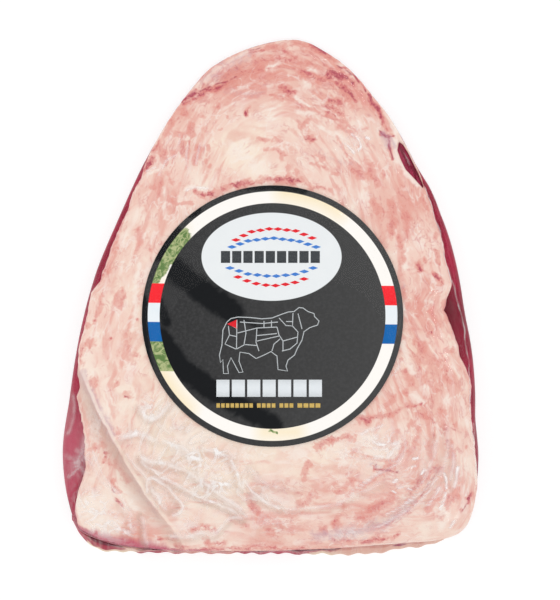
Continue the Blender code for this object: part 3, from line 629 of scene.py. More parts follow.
def seen(px, py):
    """Where a pixel of the view from above lies on the fat."""
    x = (np.asarray(px, float) - FRAME_MIDDLE[0]) * PIXEL
    y = (FRAME_MIDDLE[1] - np.asarray(py, float)) * PIXEL
    height = dome(y, np.minimum(polar(x, y)[1], 1.0))
    shrink = (CAMERA_AT[2] - height) / (CAMERA_AT[2] - OUTLINE_HEIGHT)
    return CAMERA_AT[0] + x * shrink, CAMERA_AT[1] + y * shrink


def line_of(numbers):
    """A flat row of pixel pairs as a line of places in millimetres."""
    x, y = seen(numbers[0::2], numbers[1::2])
    return list(zip(x, y))


def smooth_rows(rows, count):
    """Rows of numbers drawn finer, on smooth curves through the given rows."""
    at = np.linspace(0.0, len(rows) - 1.0, count)
    i = np.minimum(at.astype(int), len(rows) - 2)
    u = (at - i)[:, None]
    a, b, c, d = (rows[np.clip(i + step, 0, len(rows) - 1)] for step in (-1, 0, 1, 2))
    return b + 0.5 * u * (c - a + u * (2 * a - 5 * b + 4 * c - d + u * (3 * (b - c) + d - a)))


def curve_of(numbers):
    """The same as a smooth curve through those places."""
    line = np.array(line_of(numbers))
    return smooth_rows(line, 3 * len(line) - 2).tolist()


def warped(x, y, size, amount, seed):
    """Places shifted a little by noise, so that marks laid through them come out irregular."""
    spots = level_points(x, y)
    across, along = (lattice_noise(spots, size, each) - 0.5 for each in (seed, seed + 1))
    return x + 2 * amount * across, y + 2 * amount * along


def strokes(x, y, marks, spread=1.0):
    """How strongly listed marks cover each place: full on the line, fading to its sides."""
    cover = np.zeros(len(x))
    for strength, width, *numbers in marks:
        away = nearest(line_of(numbers), x, y)[0] / (2.0 * spread * width * PIXEL)
        cover = np.maximum(cover, strength * np.clip(1.0 - away, 0.0, 1.0))
    return cover


def nearest_of_lines(x, y, lines):
    """Signed distance from the nearest of several lines, and how strongly that line shows."""
    signed = np.full(len(x), 9.0)
    shown = np.zeros(len(x))
    for strength, *numbers in lines:
        away, side = nearest(line_of(numbers), x, y)
        closer = away < np.abs(signed)
        signed = np.where(closer, away * side, signed)
        shown = np.where(closer, strength * np.clip((1.6 - away) / 0.8, 0.0, 1.0), shown)
    return signed, shown


def patches(x, y, spots):
    """A soft sum of round spots: pixel, radius in pixels, value."""
    total = np.zeros(len(x))
    for px, py, radius, value in spots:
        cx, cy = seen(px, py)
        total += value * np.exp(-((x - cx) ** 2 + (y - cy) ** 2) / (radius * PIXEL) ** 2)
    return total


def closed_distance(numbers, x, y):
    """Distance from a closed outline, positive inside it."""
    line = line_of(numbers)
    away = nearest(line + line[:1], x, y)[0]
    inside = np.zeros(len(x), bool)
    for (ax, ay), (bx, by) in zip(line, line[1:] + line[:1]):
        crosses = (ay > y) != (by > y)
        at = ax + (y - ay) * (bx - ax) / np.where(by == ay, 1e-9, by - ay)
        inside ^= crosses & (x < at)
    return np.where(inside, away, -away)


def unrolled(inwards):
    """Places unrolled along the outline: round a cylinder, and the distance inwards along it."""
    turn = np.broadcast_to(math.tau * np.arange(AROUND) / AROUND, np.shape(inwards))
    x, y = UNROLLED_RADIUS * np.cos(turn), UNROLLED_RADIUS * np.sin(turn)
    return np.stack([x, y, inwards], -1).reshape(-1, 3)


def skin(name, top, rows, bottom, material, fields):
    """A closed mesh: a pole, rings of points and a pole. Fields: top, rings' and bottom's values."""
    rows = np.asarray(rows, float)
    count, around = rows.shape[:2]
    points = np.concatenate(([top], rows.reshape(-1, 3), [bottom])) * MM
    first = 1 + np.arange(count)[:, None] * around + np.arange(around)
    following = np.roll(first, -1, axis=1)
    quads = np.stack([first[:-1], first[1:], following[1:], following[:-1]], -1).reshape(-1, 4)
    start = np.stack([np.zeros(around, int), first[0], following[0]], -1)
    end = np.stack([first[-1], np.full(around, len(points) - 1), following[-1]], -1)
    mesh = bpy.data.meshes.new(name)
    mesh.from_pydata(points.tolist(), [], start.tolist() + quads.tolist() + end.tolist())
    for field, (top_value, values, bottom_value) in fields.items():
        values = np.concatenate(([top_value], values, [bottom_value])).astype(np.float32)
        kind, key = ("FLOAT_VECTOR", "vector") if values.shape[1] == 3 else ("FLOAT_COLOR", "color")
        mesh.attributes.new(field, kind, "POINT").data.foreach_set(key, values.ravel())
    mesh.shade_smooth()
    mesh.materials.append(material)
    return placed(name, mesh)


def placed(name, data):
    thing = bpy.data.objects.new(name, data)
    bpy.context.scene.collection.objects.link(thing)
    return thing


class Value:
    """An output in a node tree, with which sums are written as sums."""

    def __init__(self, socket):
        self.socket = socket
        self.tree = socket.id_data

    def __add__(self, other):
        return calc("ADD", self, other)

    def __sub__(self, other):
        return calc("SUBTRACT", self, other)

    def __rsub__(self, other):
        return calc("SUBTRACT", other, self)

    def __mul__(self, other):
        return calc("MULTIPLY", self, other)

    def __rtruediv__(self, other):
        return calc("DIVIDE", other, self)

    def __pow__(self, other):
        return calc("POWER", self, other)

    def __abs__(self):
        return calc("ABSOLUTE", self)


def node(kind, inputs=None, tree=None, **settings):
    """A new node in the given tree, or else in the one that its inputs come from."""
    inputs = inputs or {}
    tree = tree or next(given.tree for given in inputs.values() if isinstance(given, Value))
    made = tree.nodes.new(kind)
    for key, setting in settings.items():
        setattr(made, key, setting)
    for key, given in inputs.items():
        if isinstance(given, Value):
            tree.links.new(given.socket, made.inputs[key])
        else:
            made.inputs[key].default_value = given
    return made


def output(kind, inputs=None, tree=None, out=0, **settings):
    return Value(node(kind, inputs, tree, **settings).outputs[out])


def calc(operation, *numbers):
    return output("ShaderNodeMath", dict(enumerate(numbers)), operation=operation)


def rise(value, low, high):
    """0 below low, 1 above high and a smooth S between."""
    limits = {"Value": value, "From Min": low, "From Max": high}
    return output("ShaderNodeMapRange", limits, interpolation_type="SMOOTHSTEP")


def fall(value, low, high):
    return 1.0 - rise(value, low, high)


def blend(share, first, second):
    """Mixes two colours by a share from 0 to 1."""
    first, second = ((*each, 1.0) if isinstance(each, tuple) else each for each in (first, second))
    return output("ShaderNodeMix", {0: share, 6: first, 7: second}, out=2, data_type="RGBA")


def painted(colour, mask, strength, paint):
    """Lays a paint over a colour where a mask says so, as strongly as given."""
    return blend(mask * strength, colour, paint)


def vector_sum(operation, vector, *numbers, out=0):
    inputs = {0: vector, 1: numbers} if numbers else {0: vector}
    return output("ShaderNodeVectorMath", inputs, out=out, operation=operation)


def stretched(vector, x, y, z):
    return vector_sum("MULTIPLY", vector, x, y, z)


def split(vector):
    return [Value(part) for part in node("ShaderNodeSeparateXYZ", {0: vector}).outputs]


def noise(vector, size, detail=3.0, roughness=0.55, distortion=0.0):
    """Noise with features of a size in millimetres, from a vector in millimetres."""
    return output("ShaderNodeTexNoise", {
        "Vector": vector, "Scale": 1.0 / size, "Detail": detail, "Roughness": roughness,
        "Distortion": distortion,
    })


def fibrous(flow, thin, size, *numbers):
    """Noise drawn out along the outline."""
    return noise(stretched(flow, thin, thin, 1.0), size, *numbers)


def thin_line(signed, half_width, fading):
    """1 on a line and 0 beside it, from the signed distance to it."""
    return fall(abs(signed), half_width, half_width + fading)


def bumped(height, strength, distance=0.4):
    return output("ShaderNodeBump", {"Strength": strength, "Distance": distance * MM, "Height": height})


def attribute(tree, name):
    return output("ShaderNodeAttribute", tree=tree, out="Vector", attribute_name=name)


def channels(tree, name):
    """The four numbers of a colour attribute."""
    source = node("ShaderNodeAttribute", tree=tree, attribute_name=name).outputs
    parts = node("ShaderNodeSeparateColor", {0: Value(source["Color"])}).outputs
    return [Value(part) for part in (*parts[:3], source["Alpha"])]


def place_in_mm(tree):
    return stretched(output("ShaderNodeTexCoord", tree=tree, out="Object"), 1000.0, 1000.0, 1000.0)


def srgb(code):
    """A colour written as six hex digits, as the linear numbers that shaders take."""
    parts = [int(code[i:i + 2], 16) / 255 for i in (0, 2, 4)]
    return tuple(p / 12.92 if p <= 0.04045 else ((p + 0.055) / 1.055) ** 2.4 for p in parts)


def new_material(name, roughness, specular):
    material = bpy.data.materials.new(name)
    material.use_nodes = True
    sockets = material.node_tree.nodes["Principled BSDF"].inputs
    sockets["Roughness"].default_value = roughness
    sockets["Specular IOR Level"].default_value = specular
    return material


def finished(material, colour, bump=None):
    """Gives the material's shader its colour and its bump."""
    tree = material.node_tree
    sockets = tree.nodes["Principled BSDF"].inputs
    tree.links.new(colour.socket, sockets["Base Color"])
    if bump:
        tree.links.new(bump.socket, sockets["Normal"])
    return material


def new_tree(name, kind, inputs, outputs):
    """A node group and its inputs by name: each is given as a kind of socket, or as a first number."""
    tree = bpy.data.node_groups.new(name, kind)
    for key, given in inputs.items():
        kind = given if isinstance(given, str) else "Float"
        side = tree.interface.new_socket(key, in_out="INPUT", socket_type="NodeSocket" + kind)
        if kind == "Float":
            side.default_value = given
    for key, kind in outputs.items():
        tree.interface.new_socket(key, in_out="OUTPUT", socket_type="NodeSocket" + kind)
    sources = node("NodeGroupInput", tree=tree).outputs
    return tree, {key: Value(sources[key]) for key in inputs}


def broken_edge_group():
    """A mark's cover with its edge broken up by noise, kept between two limits."""
    inputs = {"Cover": 0.0, "Vector": "Vector", "Size": 3.0, "Breakup": 0.6, "Low": 0.2, "High": 0.6}
    group, given = new_tree("Broken edge", "ShaderNodeTree", inputs, {"Mask": "Float"})
    grain = noise(given["Vector"], given["Size"], 3.0, 0.5, 1.0)
    total = given["Cover"] + (grain - 0.5) * given["Breakup"]
    mask = rise(total, given["Low"], given["High"]) * rise(given["Cover"], 0.0, 0.12)
    node("NodeGroupOutput", {0: mask})
    return group


def crinkle_group():
    """Fine creases of slack film, as a height and as the cloudiness along their crests."""
    inputs = {"Vector": "Vector", "Slack": 0.0, "Size": 4.0}
    group, given = new_tree("Film crinkle", "ShaderNodeTree", inputs, {"Height": "Float", "Crest": "Float"})
    wide = noise(given["Vector"], given["Size"], 3.0, 0.5, 1.2)
    crest = calc("MAXIMUM", 1.0 - abs(wide - 0.5) * 9.0, 0.0) ** 1.6
    fine = output("ShaderNodeTexNoise", {
        "Vector": given["Vector"], "Scale": 3.2 / given["Size"], "Detail": 2.0, "Roughness": 0.5,
    })
    node("NodeGroupOutput", {0: (crest + fine * 0.6) * given["Slack"], 1: crest * given["Slack"]})
    return group


BROKEN_EDGE = broken_edge_group()
CRINKLE = crinkle_group()


def broken_edge(cover, vector, size, breakup, low, high):
    inputs = {"Cover": cover, "Vector": vector, "Size": size, "Breakup": breakup, "Low": low, "High": high}
    return output("ShaderNodeGroup", inputs, node_tree=BROKEN_EDGE)


def crinkle(vector, slack, size):
    inputs = {"Vector": vector, "Slack": slack, "Size": size}
    return [Value(each) for each in node("ShaderNodeGroup", inputs, node_tree=CRINKLE).outputs]


CREAM = srgb("F6E4D7")
WARM_CREAM = srgb("F8E4CD")
PALE_PINK = srgb("F1CDBF")
DRIFT_PINK = srgb("E5A99A")
SALMON_PINK = srgb("E29488")
ROSE = srgb("CE6A6E")
BLOOD = srgb("A83650")
STAIN_RED = srgb("B83A62")
STAIN_DARK = srgb("741630")
THREAD_WHITE = srgb("FBF3EC")
SHADE_GREY = srgb("C0A0AE")
STEP_SHADOW_BEIGE = srgb("C9A79A")
DARK_LEAN = srgb("6A0820")
LEAN_RED = srgb("A5163A")
LEAN_PINK = srgb("BE4A62")
WHITE = (1.0, 1.0, 1.0, 1.0)


def fat_material():
    """Cream fat, mottled with pink, threaded with red and marked where blood shows."""
    material = new_material("Beef fat", roughness=0.5, specular=0.12)
    tree = material.node_tree
    spot = place_in_mm(tree)
    flow = attribute(tree, "flow")
    crimson, salmon, pale, grey = channels(tree, "marks")
    redness, warmth, rim, tear = channels(tree, "region")
    step, vein, vein_shown, step_shown = channels(tree, "lines")

    colour = blend(warmth, CREAM, WARM_CREAM)
    pinkness = rise(noise(spot, 15.0, 3.0, 0.6) + redness * 0.5, 0.56, 0.92)
    colour = painted(colour, pinkness, 0.9, PALE_PINK)
    lift = redness * 0.26
    # Mottling: where it lies, size, distortion, limits, strength and paint
    for vector, size, distortion, low, high, strength, paint in (
        (stretched(flow, 0.36, 0.36, 1.0), 9.0, 0.7, 0.62, 0.82, 0.5, DRIFT_PINK),
        (stretched(flow, 0.2, 0.2, 1.0), 4.8, 0.6, 0.66, 0.84, 0.5, SALMON_PINK),
        (spot, 4.0, 0.7, 0.72, 0.9, 0.3, SALMON_PINK),
        (stretched(flow, 0.5, 0.5, 1.4), 2.2, 0.6, 0.83, 0.97, 0.42, ROSE),
    ):
        mottling = noise(vector, size, 2.0, 0.5, distortion) + lift
        colour = painted(colour, rise(mottling, low, high), strength, paint)
    colour = painted(colour, rise(fibrous(flow, 0.32, 5.2, 2.0, 0.5, 0.7), 0.54, 0.7), 0.3, THREAD_WHITE)

    red_ridge = abs(fibrous(flow, 0.45, 5.2, 4.0, 0.55, 1.4) - 0.48)
    reddish = rise(noise(spot, 9.0, 2.0) + lift, 0.62, 0.82)
    colour = painted(colour, fall(red_ridge, 0.0, 0.05) * reddish, 0.4, ROSE)
    ridge = abs(fibrous(flow, 0.45, 6.5, 3.0, 0.5, 0.9) - 0.5)
    threads = fall(ridge, 0.004, 0.03) * rise(noise(spot, 11.0, 2.0), 0.44, 0.58)
    colour = painted(colour, threads, 0.4, THREAD_WHITE)

    # Marks: cover, size and depth of the breakup, limits, strength and paint
    for cover, size, breakup, low, high, strength, paint in (
        (pale, 4.0, 1.4, 0.1, 0.8, 0.8, srgb("F8EADF")),
        (salmon, 3.0, 1.5, 0.16, 0.62, 0.6, SALMON_PINK),
        (salmon, 1.8, 2.0, 0.7, 1.1, 0.45, ROSE),
        (crimson, 3.4, 1.5, 0.12, 0.55, 0.6, SALMON_PINK),
        (crimson, 2.0, 1.8, 0.42, 0.85, 0.75, ROSE),
        (crimson, 1.6, 1.9, 0.72, 1.05, 0.75, BLOOD),
        # The grey marks are painted shade
        (grey, 3.0, 1.2, 0.1, 0.75, 0.5, SHADE_GREY),
    ):
        colour = painted(colour, broken_edge(cover, spot, size, breakup, low, high), strength, paint)
    line = thin_line(vein, 0.05, 0.6) * vein_shown * rise(noise(spot, 2.2, 3.0, 0.6), 0.4, 0.6)
    colour = painted(colour, line, 0.8, blend(rise(vein_shown, 0.5, 0.9), ROSE, BLOOD))
    inward = noise(stretched(spot, 1.0, 0.3, 0.6), 2.2, 4.0, 0.6)
    stain = (rim + (inward - 0.5) * 0.7) * rise(rim, 0.0, 0.2)
    colour = painted(colour, rise(stain, 0.15, 0.85), 0.8, STAIN_RED)
    colour = painted(colour, rise(stain, 0.95, 1.35), 0.85, STAIN_DARK)

    # Painted shadow on the step's lower side, and a painted highlight along its upper edge
    shadow = rise(step, -0.05, 0.6) * fall(step, 0.6, 9.5) * step_shown
    colour = painted(colour, shadow, 0.8, STEP_SHADOW_BEIGE)
    colour = painted(colour, thin_line(step + 0.7, 0.35, 0.7) * step_shown, 0.6, srgb("FBEBDB"))
    torn = blend(rise(fibrous(flow, 0.2, 1.6, 3.0, 0.6), 0.42, 0.62), srgb("78102E"), srgb("A22A4C"))
    colour = blend(rise(tear, -0.12, 0.12), colour, torn)
    return finished(material, colour, bumped(noise(spot, 3.2, 3.0, 0.5) * 0.5 + threads * 0.25, 0.3))


def lean_material():
    """Dark red muscle with its grain, pinker where film or silver skin lies on it."""
    material = new_material("Lean beef", roughness=0.42, specular=0.1)
    tree = material.node_tree
    flow = attribute(tree, "flow")
    pink, dark, skin_white, below = channels(tree, "region")
    colour = blend(rise(noise(place_in_mm(tree), 12.0, 3.0), 0.35, 0.7), DARK_LEAN, LEAN_RED)
    colour = blend(0.5, colour, LEAN_RED)
    grain = fibrous(flow, 0.3, 1.6, 4.0, 0.6, 0.4)
    colour = painted(colour, rise(grain, 0.5, 0.75), 0.35, LEAN_PINK)
    stripe = fibrous(flow, 0.04, 2.2, 2.0, 0.5)
    colour = painted(colour, rise(stripe, 0.55, 0.72), 0.55, LEAN_PINK)
    colour = painted(colour, rise(1.0 - stripe, 0.55, 0.72), 0.5, DARK_LEAN)
    colour = blend(pink, colour, srgb("C05C6E"))
    colour = blend(dark, colour, DARK_LEAN)
    low_patch = fibrous(flow, 0.35, 10.0, 4.0, 0.6, 0.8)
    colour = painted(colour, below * rise(low_patch, 0.36, 0.6), 0.75, srgb("561024"))
    colour = painted(colour, below * rise(1.0 - low_patch, 0.52, 0.66), 0.4, srgb("B4606C"))
    fibres = fibrous(flow, 0.1, 1.3, 3.0, 0.6, 0.5)
    colour = painted(colour, below * rise(fibres, 0.54, 0.66), 0.35, srgb("C27B80"))
    streaks = skin_white * 0.3 + fibrous(flow, 0.12, 4.0, 4.0, 0.6, 1.2)
    colour = blend(rise(streaks, 0.53, 0.75) * skin_white, colour, srgb("D9B9B4"))
    return finished(material, colour, bumped(grain, 0.5))


def mixed(share, first, second):
    return output("ShaderNodeMixShader", {0: share, 1: first, 2: second})


def film_material():
    """Clear shrunk film: sees through to the meat, shines, clouds along its creases, and carries painted
    glints, highlights and shade.
    """
    material = bpy.data.materials.new("Bag film")
    material.use_nodes = True
    tree = material.node_tree
    tree.nodes.clear()
    flow = attribute(tree, "flow")
    haze_and_glints, slack, veil_and_highlight, shade = channels(tree, "film")
    height, crest = crinkle(stretched(flow, 0.5, 0.5, 1.0), slack, 3.0)
    bump = bumped(height, 0.4)
    facing = output("ShaderNodeLayerWeight", {"Blend": 0.5, "Normal": bump}, out="Facing")
    gleam = facing ** 8.0 * 0.14 + 0.003
    gleam = rise(split(flow)[2] * -1.0, 2.0, 10.0) * 0.035 + gleam
    clear = output("ShaderNodeBsdfTransparent", {"Color": WHITE}, tree)
    shine = output("ShaderNodeBsdfGlossy", {"Color": WHITE, "Roughness": 0.1, "Normal": bump})
    # Painted shade: a brownish diffuse laid in by the shade channel beside creases and folds
    dusk = output("ShaderNodeBsdfDiffuse", {"Color": (0.62, 0.47, 0.4, 1.0)}, tree)
    milk = output("ShaderNodeBsdfDiffuse", {"Color": (0.97, 0.95, 0.94, 1.0)}, tree)
    # The milky film: veil patches and crease haze, partly the film's own cloudiness and partly painted
    # highlights and glints
    sheet = rise(noise(place_in_mm(tree), 6.0, 3.0, 0.5, 1.8), 0.44, 0.58) * veil_and_highlight
    cloud_and_glint = output("ShaderNodeClamp", {0: haze_and_glints + sheet + crest * 0.08, 1: 0.003, 2: 0.9})
    surface = mixed(cloud_and_glint, mixed(shade, mixed(gleam, clear, shine), dusk), milk)
    node("ShaderNodeOutputMaterial", {"Surface": surface})
    return material


def tail_material():
    """Several layers of film pressed together, cream with meat juice between them."""
    material = new_material("Folded film", roughness=0.35, specular=0.12)
    spot = place_in_mm(material.node_tree)
    across, _, up = split(spot)
    height, crest = crinkle(stretched(spot, 1.0, 0.15, 0.15), 1.0, 6.0)
    blotch = noise(stretched(spot, 0.5, 0.5, 0.8), 6.0, 4.0, 0.6, 1.6)
    cream = blend(rise(across, 26.0, 36.0), srgb("E8D8BE"), srgb("E2BCAA"))
    cream = painted(cream, rise(up, 1.0, 6.0), 0.6, srgb("D09080"))
    cream = painted(cream, rise(up, 7.5, 9.5), 0.5, srgb("B46058"))
    blot_x, blot_z = across - 60.0, up - 7.6
    blot = blot_x * blot_x * 0.5 + blot_z * blot_z + blotch * 14.0
    cream = painted(cream, fall(blot, 8.0, 15.0), 1.0, srgb("8E0C3A"))
    crimson = blend(rise(blotch + up * 0.04, 0.4, 0.8), srgb("C04A60"), srgb("A01034"))
    # Painted shade: darkest at the strip's top, under the meat's overhanging edge
    crimson = painted(crimson, rise(up, 8.0, 9.6), 0.85, srgb("5A1428"))
    left = fall(across, -87.0, -83.0)
    upper = rise(up, 2.5, 5.0) * fall(across, -72.0, -62.0)
    middle = rise(across, -68.0, -58.0) * fall(up * -1.8 + across, 0.0, 26.0)
    solid = rise(across, -16.0, -10.0) * middle
    salmon_run = rise(across, -46.0, -38.0) - rise(across, -20.0, -12.0)
    bloody = calc("MAXIMUM", calc("MAXIMUM", left, upper * 0.8), middle * 0.64)
    bloody = salmon_run * -0.1 + bloody + solid * 0.3 + (blotch - 0.5) * 1.7
    colour = blend(rise(bloody, 0.3, 0.7), cream, crimson)
    colour = painted(colour, salmon_run, 0.5, srgb("CC7468"))
    colour = painted(colour, crest, 0.12, srgb("F6E9DF"))
    return finished(material, colour, bumped(height, 0.4))


def label_material():
    """Satin paper: a dark disc with an oval field, a foil band with three colour fields, a dark rim, with
    painted reflections on the dark paper and the foil.
    """
    material = new_material("Label sheet", roughness=0.5, specular=0.1)
    spot = place_in_mm(material.node_tree)
    across, up, _ = split(vector_sum("SUBTRACT", spot, *LABEL_MIDDLE, 0.0))
    flat = output("ShaderNodeCombineXYZ", {0: across, 1: up})
    radius = vector_sum("LENGTH", flat, out="Value")
    streak, gold, green_reflection, _ = channels(material.node_tree, "painted_reflections")
    grain = noise(spot, 1.4, 3.0, 0.6)
    # Painted reflections on the dark paper: lighter towards the right, and dark streaks
    rightwards = output("ShaderNodeMapRange", {"Value": across, "From Min": -50.0, "From Max": 50.0})
    dark = blend(rightwards, srgb("303031"), srgb("434343"))
    dark = painted(dark, rise(grain, 0.35, 0.75), 0.35, srgb("505051"))
    dark = painted(dark, broken_edge(streak, spot, 5.0, 0.5, 0.2, 0.6), 0.92, srgb("0A0D11"))

    level = across * BAND_SLANT + up

    def between(low, high):
        """1 between two levels, with a narrow soft edge."""
        above = rise(level, low - FIELD_EDGE, low + FIELD_EDGE)
        return above * fall(level, high - FIELD_EDGE, high + FIELD_EDGE)

    # Painted reflections on the foil: gold tints and green patches
    foil = blend(gold, srgb("FEFAF5"), srgb("FBE9C4"))
    reflected_green = blend(rise(noise(spot, 3.0, 3.0, 0.6, 1.5), 0.4, 0.62), srgb("64824A"), srgb("B4BC88"))
    green_reflection_mask = broken_edge(green_reflection, spot, 4.0, 0.6, 0.25, 0.4) * (1.0 - between(*BARE_LEVELS))
    foil = blend(green_reflection_mask, foil, reflected_green)
    tone = noise(spot, 8.0, 2.0)
    for low, high, first, second in COLOUR_FIELDS:
        foil = blend(between(low, high), foil, blend(tone, srgb(first), srgb(second)))
    from_oval = vector_sum("SUBTRACT", spot, *OVAL_MIDDLE, 0.0)
    squeezed = stretched(from_oval, 1 / OVAL_HALVES[0], 1 / OVAL_HALVES[1], 0.0)
    oval = vector_sum("LENGTH", squeezed, out="Value")
    colour = blend(fall(oval, 0.99, 1.0), dark, blend(tone, srgb("EEF1F2"), srgb("E8ECEE")))
    colour = blend(rise(radius, DISC_RADIUS, DISC_RADIUS + 0.2), colour, foil)
    colour = blend(rise(radius, FOIL_RADIUS, FOIL_RADIUS + 0.2), colour, dark)
    return finished(material, colour, bumped(grain, 0.08, 0.2))


def plain_material(name, first, second, size=2.0, detail=2.0, roughness=0.5):
    """Two tones of one colour, clouded into each other."""
    material = new_material(name, roughness, 0.1)
    return finished(material, blend(noise(place_in_mm(material.node_tree), size, detail), first, second))


# Round the outline: the angles and the reach; as shares of it the fat's rim, the foot of its undercut
# and the lean's outer limit; and the height of the widest line
ANGLES = even_angles(AROUND)
REACH = reach(ANGLES)
RIM = rim_share()
FAT_FOOT = RIM - FAT_UNDERCUT / REACH
LEAN_LIMIT = 1.0 - np.interp(np.degrees(ANGLES) % 360.0, *np.array(LEAN_INSETS).T) / REACH
WIDEST = WIDEST_SHARE * spline(HEIGHTS, place(ANGLES, 1.0)[1])


def polar_grid(limit, covered_rows):
    """Shares of the reach: circles under the label, then rows that widen out to the limit."""
    covered = [radius / REACH for radius in np.linspace(0.12, 1.0, covered_rows) * COVERED_RADIUS]
    start = COVERED_RADIUS / REACH
    parts = np.linspace(0.0, 1.0, OPEN_ROWS + 1)[1:]
    parts = parts + 0.25 * parts * (1.0 - parts)
    return np.array(covered + [start + (limit - start) * part for part in parts])


def ring(share, height):
    """Points round the outline at a share of the reach."""
    x, y = place(ANGLES, share)
    return np.stack([x, y, np.broadcast_to(height, x.shape)], -1)


def quarter(count):
    """Even steps through a quarter turn, without its start."""
    return np.linspace(0.0, 0.5 * math.pi, count)[1:]


def foot_rings(limit, widest, lowest, turns, parts):
    """Rings from the widest line down round the foot, and in along the floor."""
    thick_end = ramp((place(ANGLES, 1.0)[1] - THICK_END_Y[0]) / (THICK_END_Y[1] - THICK_END_Y[0]))
    foot = FOOT_INSET + (FOOT_INSET_THICK_END - FOOT_INSET) * thick_end
    rings = []
    for turn in quarter(turns):
        inwards = 1.0 - max(math.cos(turn), 0.0) ** (2 / FOOT_ROUNDNESS)
        drop = 1.0 - math.sin(turn) ** (2 / FOOT_ROUNDNESS)
        rings.append(ring(limit - foot * inwards / REACH, lowest + (widest - lowest) * drop))
    return rings + [ring((limit - foot / REACH) * part, lowest) for part in parts]


def bare_lumps(x, y, shares):
    """Low lumps of the fat, levelled out under the label and at the rim."""
    points = level_points(x.ravel(), y.ravel())
    height = (layered_noise(points, 13.0, 3) - 0.5) * 1.1 + (lattice_noise(points, 4.5, 8) - 0.5) * 0.35
    outside = ramp((from_label(x, y) - LABEL_RADIUS - 1.5) / 8.0)
    return height.reshape(x.shape) * outside * ramp((RIM - shares) * REACH / 5.0)


def continued(inwards, step, count):
    """Distances inwards, and further ones a step apart for the rings on the far side of the rim."""
    return np.concatenate((inwards, -step * np.arange(1, count + 1)[:, None] * np.ones(AROUND)))


def make_fat():
    shares = polar_grid(RIM, 6)
    x, y = place(ANGLES, shares)
    cut = np.full(x.size, -9.0)
    for numbers in TEARS:
        cut = np.maximum(cut, closed_distance(numbers, x.ravel(), y.ravel()))
    heights = fat_top(ANGLES, shares, RIM) + bare_lumps(x, y, shares)
    heights = heights - TEAR_DEPTH * ramp(cut.reshape(x.shape) / 1.2 + 0.5) - FAT_LOWERED
    under = np.array(UNDER_PARTS)[:, None] * FAT_FOOT
    lower_face = ring(under, seam(place(ANGLES, under)[1], under) + LABEL_GAP)
    rows = np.concatenate((ring(shares, heights), lower_face))
    x, y = rows[..., 0].ravel(), rows[..., 1].ravel()
    inwards = (RIM - shares) * REACH
    loose = warped(*warped(x, y, 6.0, 1.1, 61), 2.4, 0.5, 71)
    firm = warped(x, y, 3.0, 0.35, 81)
    marks = np.stack([strokes(*loose, each, 1.15) for each in (CRIMSON, SALMON, PALE, SHADE_MARKS)], -1)
    marks[:, :2] *= (0.45 + 1.1 * layered_noise(level_points(x, y), 4.0, 91))[:, None]
    away, side = nearest(STEP_LINE, *firm)
    step_shown = np.interp(y, *np.array(STEP_SHADE).T)
    lines = np.stack([away * side, *nearest_of_lines(*firm, VEINS), step_shown], -1)
    depth = continued(inwards, 3.0, len(UNDER_PARTS)).ravel()
    much_lean = np.tile(ramp(((1.0 - RIM) * REACH - 0.8) / 2.0), len(rows))
    rim_blood = np.clip(1.0 - depth / 2.0, 0.0, 1.0) * 0.42 * much_lean
    fading = np.interp(x, (-101.0, -93.0, -60.0, -44.0, -8.0), (0.0, 1.0, 1.0, 0.72, 0.0))
    rim_blood = np.maximum(rim_blood, fading * strokes(*firm, EDGE_STAIN))
    region = np.stack([
        0.5 + 0.85 * patches(x, y, REDNESS), np.clip(patches(x, y, WARMTH), 0, 1), rim_blood,
        np.concatenate((cut, np.full(lower_face[..., 0].size, -9.0))),
    ], -1)
    top = (*MIDDLE, float(fat_top(0.0, 0.0, 1.0)) - FAT_LOWERED)
    bottom = (*MIDDLE, float(seam(MIDDLE[1], 0.0)) + LABEL_GAP)
    return skin("fat_layer", top, rows, bottom, fat_material(), {
        "flow": ([0, 0, 90], unrolled(continued(inwards, 2.0, len(UNDER_PARTS))), [0, 0, -90]),
        "marks": (NOTHING, marks, NOTHING),
        "lines": ([9] * 4, lines, [9] * 4),
        "region": ([0.5, 0, 0, -9], region, [0.5, 0, 0, -9]),
    })


